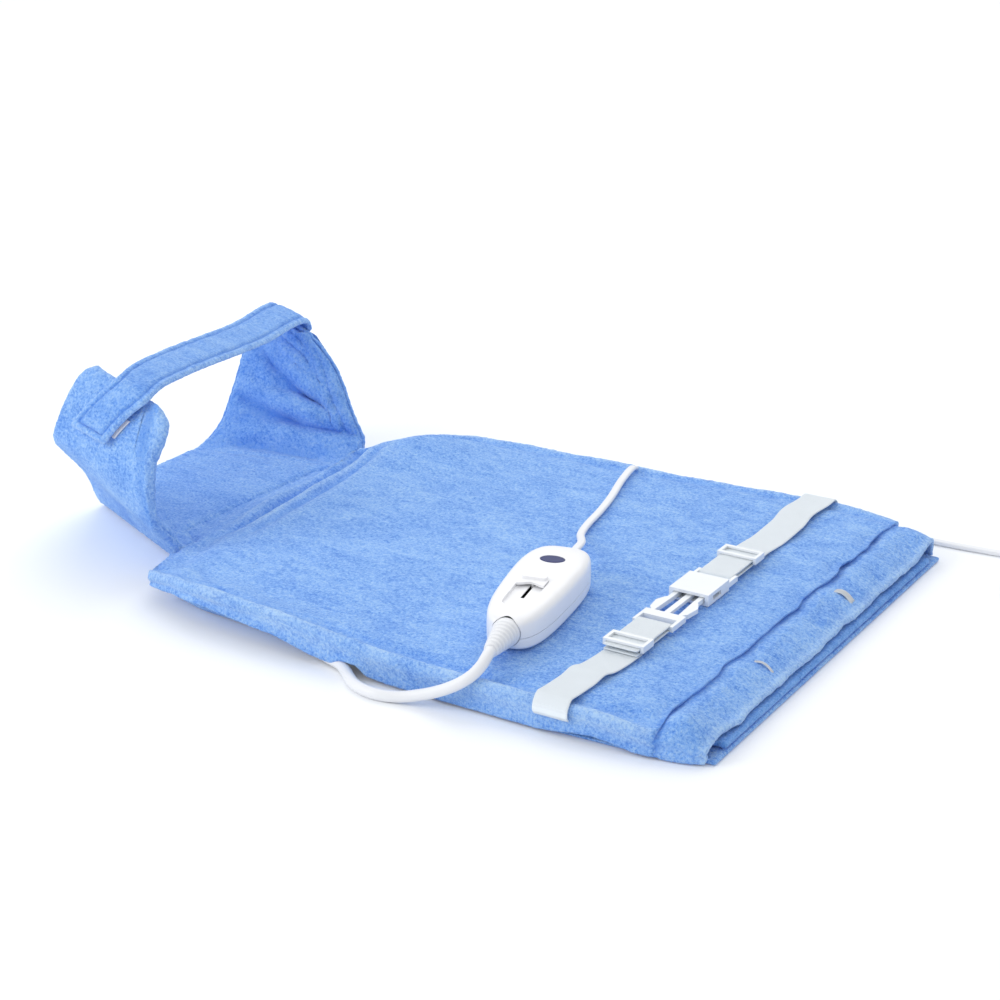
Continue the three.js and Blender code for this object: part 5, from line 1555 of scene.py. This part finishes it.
def make_belt():
    near_side = float(near_edge(belt_x))
    far_side = float(far_edge(belt_x))
    near_rows = [(near_side + depth, z) for depth, z in crown_rows]
    near = ribbon("belt_near_run", [*near_rows, (near_run_end_y, run_z)], "near")
    place_piece(near, "root", "webbing", "belt_webbing_near")
    loop = ribbon("belt_moving_loop", [
        (near_loop_end_y, loop_lower_z), (near_bend_y, loop_lower_z), *bend_rows(near_bend_y, 1),
        (near_bend_y, loop_upper_z), (near_loop_end_y, loop_upper_z),
    ], "loop")
    place_piece(loop, "buckle_male_end", "webbing", "belt_loop_near")
    far_rows = [(far_side - depth, z) for depth, z in crown_rows]
    far = ribbon("belt_far_run", [
        *far_rows, (far_drop_y, run_z), (far_loop_lower_y, loop_lower_z), (far_bend_y, loop_lower_z),
        *bend_rows(far_bend_y, -1), (far_bend_y, loop_upper_z), (far_loop_end_y, loop_upper_z),
    ], "far")
    place_piece(far, "root", "webbing", "belt_webbing_far")


make_belt()


# Controller, built along its own X from the ribbed end to the lamp end
shell_length = 135 * mm
shell_width = 52 * mm
shell_height = 28 * mm
shell_middle_z = 13 * mm
shell_taper_x = 40 * mm
shell_drop_x = -36 * mm
shell_wall = 2 * mm
shell_roof = 3 * mm
shell_outline_power = 3.4
shell_taper = 0.1
shell_drop = 1 * mm
shell_top_power = 5
shell_bottom_power = 8
split_z = 10.5 * mm
split_gap = 0.35 * mm
shell_x = 123 * mm
shell_y = -94 * mm
shell_turn_degrees = 101.3
shell_sides = 112
shell_levels = 22
recess_start_x = -1.5 * mm
recess_length = 49 * mm
recess_width = 21 * mm
recess_depth = 2.5 * mm
recess_floor_z = shell_height - recess_depth
recess_corner = 7 * mm
slot_width = 2.6 * mm
slot_start_x = -33.5 * mm
slot_end_x = -5.5 * mm
lens_x = 32 * mm
lens_length = 13 * mm
lens_width = 18 * mm
lens_low_z = 26.7 * mm
lens_high_z = 28.2 * mm
# Posts in the lower shell: distance from the middle, radius, top
post_spots = ((36 * mm, 3 * mm, 7.7 * mm), (50 * mm, 4.8 * mm, 10.2 * mm))
screw_radius = 1.5 * mm
screw_head_radius = 2.8 * mm
screw_head_height = 2 * mm
shell_edge_round = 0.45 * mm
cut_reach = 6 * mm
port_depth = cut_reach * 3
lead_port_radius = 10.4 * mm
mains_port_radius = 4.7 * mm
shell_edge_degrees = 38
oval_power = 2
oval_sides = 40
# Rounded top of the lamp window: depth below its highest point, scale
lens_steps = ((0.5 * mm, 1), (0.28 * mm, 0.95), (0.12 * mm, 0.8), (0, 0.5))
shell_matrix = (
    Matrix.Translation((shell_x, shell_y, pad_top_z + seat_gap))
    @ Matrix.Rotation(math.radians(shell_turn_degrees), 4, "Z")
)


def power_outline(half_length, half_width, power, sides):
    points = []
    for side in range(sides):
        angle = turn * side / sides
        x = math.copysign(abs(math.cos(angle)) ** (2 / power), math.cos(angle)) * half_length
        y = math.copysign(abs(math.sin(angle)) ** (2 / power), math.sin(angle)) * half_width
        points.append((x, y))
    return points


def prism(name, outline, levels, material=None):
    """Stacked copies of an outline; each level is a height and a scale."""
    vertices = [(x * scale, y * scale, z) for z, scale in levels for x, y in outline]
    return make_object(name, vertices, ring_faces(len(levels), len(outline)), material)


def pebble(name, half_length, half_width, low_height, high_height, material=None):
    levels = []
    for level in range(1, shell_levels):
        angle = math.pi * (level / shell_levels - half)
        power = shell_top_power if angle > 0 else shell_bottom_power
        rise = high_height if angle > 0 else low_height
        height = math.copysign(abs(math.sin(angle)) ** (2 / power), angle) * rise
        levels.append((shell_middle_z + height, abs(math.cos(angle)) ** (2 / power)))
    levels[0] = (shell_middle_z - low_height, levels[0][1])
    outline = power_outline(half_length, half_width, shell_outline_power, shell_sides)
    piece = prism(name, outline, levels, material)
    for vertex in piece.data.vertices:
        share = float(smooth_step((shell_taper_x - vertex.co.x) / shell_length))
        vertex.co.y *= 1 - shell_taper * share * 2
        end_share = float(smooth_step((shell_drop_x - vertex.co.x) / (shell_length * quarter)))
        vertex.co.z -= shell_drop * end_share * max(vertex.co.z / shell_height - half, 0) * 2
    return piece


def block(name, low, high):
    outline = [(low[0], low[1]), (high[0], low[1]), (high[0], high[1]), (low[0], high[1])]
    return prism(name, outline, [(low[2], 1), (high[2], 1)])


def rounded_outline(low_x, high_x, half_width, corner, steps=5):
    points = []
    side_y = half_width - corner
    low_x = low_x + corner
    high_x = high_x - corner
    centres = ((high_x, side_y), (low_x, side_y), (low_x, -side_y), (high_x, -side_y))
    for quarters, (x, y) in enumerate(centres):
        for step in range(steps + 1):
            angle = (quarters + step / steps) * math.pi * half
            points.append((x + corner * math.cos(angle), y + corner * math.sin(angle)))
    return points


def post(name, x, radius, low_z, high_z, sides=24):
    outline = [(x + radius * math.cos(turn * side / sides), radius * math.sin(turn * side / sides))
               for side in range(sides)]
    return prism(name, outline, [(low_z, 1), (high_z, 1)])


def axial(name, profile, direction, material=None, sides=36):
    """A turned shape along the controller's X; the profile lists radius and distance beyond its end."""
    vertices = []
    for radius, along in profile:
        x = direction * (shell_length * half + along)
        for side in range(sides):
            angle = turn * side / sides * direction
            centre_z = shell_height * half
            vertices.append((x, radius * math.cos(angle), centre_z + radius * math.sin(angle)))
    return make_object(name, vertices, ring_faces(len(profile), sides), material)


def combine(piece, operation, *others):
    """Joins or cuts a piece with others and removes the others."""
    for other in others:
        step = piece.modifiers.new("combine", "BOOLEAN")
        step.operation = operation
        step.solver = "EXACT"
        step.object = other
    settled = bpy.data.meshes.new_from_object(piece.evaluated_get(bpy.context.evaluated_depsgraph_get()))
    piece.modifiers.clear()
    piece.data = settled
    for other in others:
        bpy.data.objects.remove(other)


def soften(piece, width, angle_degrees=32, segments=3):
    """Rounds a hard piece's sharp edges."""
    step = piece.modifiers.new("edge_round", "BEVEL")
    step.width = width
    step.segments = segments
    step.limit_method = "ANGLE"
    step.angle_limit = math.radians(angle_degrees)
    step.use_clamp_overlap = True
    piece.data.shade_smooth()
    even = piece.modifiers.new("even_normals", "WEIGHTED_NORMAL")
    even.keep_sharp = True


def make_shells():
    outer = (shell_length * half, shell_width * half, shell_middle_z, shell_height - shell_middle_z)
    inner = (outer[0] - shell_wall, outer[1] - shell_wall, outer[2] - shell_wall, outer[3] - shell_roof)
    big = shell_length
    shells = []
    for name, low_z, high_z in (
        ("controller_top", split_z + split_gap * half, big),
        ("controller_bottom", -big, split_z - split_gap * half),
    ):
        shell = pebble(name, *outer, shell_plastic)
        combine(shell, "DIFFERENCE", pebble("hollow", *inner))
        combine(shell, "INTERSECT", block("part", (-big, -big, low_z), (big, big, high_z)))
        for radius, direction in ((lead_port_radius, -1), (mains_port_radius, 1)):
            port = axial("port", [(radius, -port_depth), (radius, cut_reach)], direction)
            combine(shell, "DIFFERENCE", port)
        shells.append(shell)
    top, bottom = shells
    cut_z = shell_height + cut_reach
    recess_end_x = recess_start_x - recess_length
    outline = rounded_outline(recess_end_x, recess_start_x, recess_width * half, recess_corner)
    recess = prism("recess", outline, [(recess_floor_z, 1), (cut_z, 1)])
    slot_side = slot_width * half
    slot = block("slot", (slot_start_x, -slot_side, shell_middle_z), (slot_end_x, slot_side, cut_z))
    window = (lens_length * half + seat_gap, lens_width * half + seat_gap)
    outline = power_outline(*window, oval_power, oval_sides)
    pocket = prism("pocket", [(lens_x + x, y) for x, y in outline], [(lens_low_z - seat_gap, 1), (cut_z, 1)])
    combine(top, "DIFFERENCE", recess, slot, pocket)
    for spot_x, radius, top_z in post_spots:
        for side in (-1, 1):
            combine(bottom, "UNION", post("post", side * spot_x, radius, shell_wall * half, top_z))
    screw_x = post_spots[1][0]
    for side in (-1, 1):
        combine(bottom, "DIFFERENCE",
                post("hole", side * screw_x, screw_radius + seat_gap, -cut_reach, split_z + cut_reach),
                post("head_hole", side * screw_x, screw_head_radius + seat_gap, -cut_reach,
                     screw_head_height + seat_gap))
    for shell, node in ((top, "controller_top_shell"), (bottom, "controller_bottom_shell")):
        shell.data.transform(shell_matrix)
        soften(shell, shell_edge_round, shell_edge_degrees, segments=2)
        dress(shell, shell_plastic)
        place_piece(shell, "root", "shell_plastic", node)

    outline = power_outline(1, 1, oval_power, oval_sides)
    levels = [(lens_low_z, 1)] + [(lens_high_z - drop, scale) for drop, scale in lens_steps]
    vertices = [
        (lens_x + x * scale * lens_length * half, y * scale * lens_width * half, z)
        for z, scale in levels for x, y in outline
    ]
    lens = make_object("indicator_window", vertices, ring_faces(len(levels), len(outline)), lens_plastic)
    lens.data.transform(shell_matrix)
    place_piece(lens, "root", "lens_plastic", "indicator_lens")


# Strain reliefs
rib_depth = 1.5 * mm
relief_gap = 0.35 * mm
relief_seat = 5 * mm
axis_radius = 0.01 * mm
# Piece, CAD piece, end of the controller, port radius, tip radius, length and number of ribs
reliefs = (
    ("lead_boot", "lead_relief", -1, lead_port_radius, 5.2 * mm, 28 * mm, 7),
    ("mains_boot", "mains_relief", 1, mains_port_radius, 3.6 * mm, 12 * mm, 4),
)
rib_steps = 8


def make_reliefs():
    for name, node, direction, port_radius, tip, length, ribs in reliefs:
        root = port_radius - relief_gap
        profile = [
            (axis_radius, -relief_seat), (root - rib_depth, -relief_seat), (root, rib_depth - relief_seat),
        ]
        count = ribs * rib_steps
        for step in range(count + 1):
            share = step / count
            radius = root + (tip - root) * share
            groove = max(math.sin(share * ribs * turn - math.pi * half), 0) * (share > half / ribs)
            profile.append((radius - rib_depth * groove ** half, share * length))
        end = length + rib_depth * half
        profile += [(tip - rib_depth * half, end), (axis_radius, end)]
        boot = axial(name, profile, direction, cord_jacket)
        boot.data.transform(shell_matrix)
        place_piece(boot, "root", "cord_jacket", node)


# Slide switch knob
knob_start_x = -17 * mm
knob_end_x = -2 * mm
knob_half_width = 10 * mm
knob_low_z = 27.1 * mm
knob_plate = 2 * mm
knob_hollow = 3.6 * mm
ridge_low_x = -9 * mm
ridge_end_x = -3 * mm
ridge_rise = 1.9 * mm
stem_half = 2.5 * mm
stem_x = -9.5 * mm
stem_width = 1.8 * mm
stem_low_z = 13.2 * mm
knob_corner = 2.4 * mm
knob_steps = 14
knob_edge_round = 0.6 * mm
knob_edge_degrees = 30
ridge_half_width = 9 * mm
ridge_corner = 2 * mm


def make_knob():
    """Slide switch knob: a plate with one hollow end, a finger ridge and a stem."""
    side_x = knob_end_x - knob_corner
    side_y = knob_half_width - knob_corner
    outline = [
        (side_x, -knob_half_width), (knob_end_x, -side_y), (knob_end_x, side_y), (side_x, knob_half_width),
    ]
    for step in range(knob_steps + 1):
        share = step / knob_steps - half
        hollow = knob_hollow * math.cos(share * math.pi) ** 2
        outline.append((knob_start_x + hollow, -knob_half_width * share * 2))
    top_z = knob_low_z + knob_plate
    middle_z = knob_low_z + knob_plate * half
    knob = prism("slide_knob", outline, [(knob_low_z, 1), (top_z, 1)], shell_plastic)
    outline = rounded_outline(ridge_low_x, ridge_end_x, ridge_half_width, ridge_corner)
    ridge = prism("ridge", outline, [(middle_z, 1), (top_z + ridge_rise, 1)])
    stem = block("stem", (stem_x - stem_half, -stem_width * half, stem_low_z),
                 (stem_x + stem_half, stem_width * half, middle_z))
    combine(knob, "UNION", ridge, stem)
    knob.data.transform(shell_matrix)
    soften(knob, knob_edge_round, knob_edge_degrees)
    dress(knob, shell_plastic)
    place_piece(knob, "knob", "shell_plastic", "switch_knob")


make_shells()
make_reliefs()
make_knob()


# Parts that keep the CAD shape: slot, material, rounding of their edges and CAD pieces
kept_parts = (
    ("buckle_plastic", buckle_plastic, 0.55 * mm, (
        "buckle_male", "buckle_arm_left", "buckle_arm_right", "buckle_female", "tri_glide_near",
        "tri_glide_far",
    )),
    ("lens_plastic", lens_plastic, 0.4 * mm, ("indicator_led",)),
    ("circuit_board", board_green, 0.15 * mm, ("circuit_board",)),
    ("dark_plastic", dark_plastic, 0.4 * mm, (
        "slide_switch_body", "mains_capacitor", "thermostat_1", "thermostat_2", "coil_tie",
    )),
    ("cord_jacket", cord_jacket, 1 * mm, ("lead_entry_block", "plug_body")),
    ("wire_jacket", wire_jacket, 0, ("heating_wire",)),
    ("steel", steel, 0.2 * mm, (
        "wire_end_crimp", "shell_screw_1", "shell_screw_2", "mains_fuse", "plug_pin_1", "plug_pin_2",
    )),
)


def dress_kept_parts():
    for slot, material, edge, names in kept_parts:
        for name in names:
            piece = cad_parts[name]
            dress(piece, material)
            for face in piece.data.polygons:
                face.material_index = 0
            if edge:
                soften(piece, edge)


dress_kept_parts()
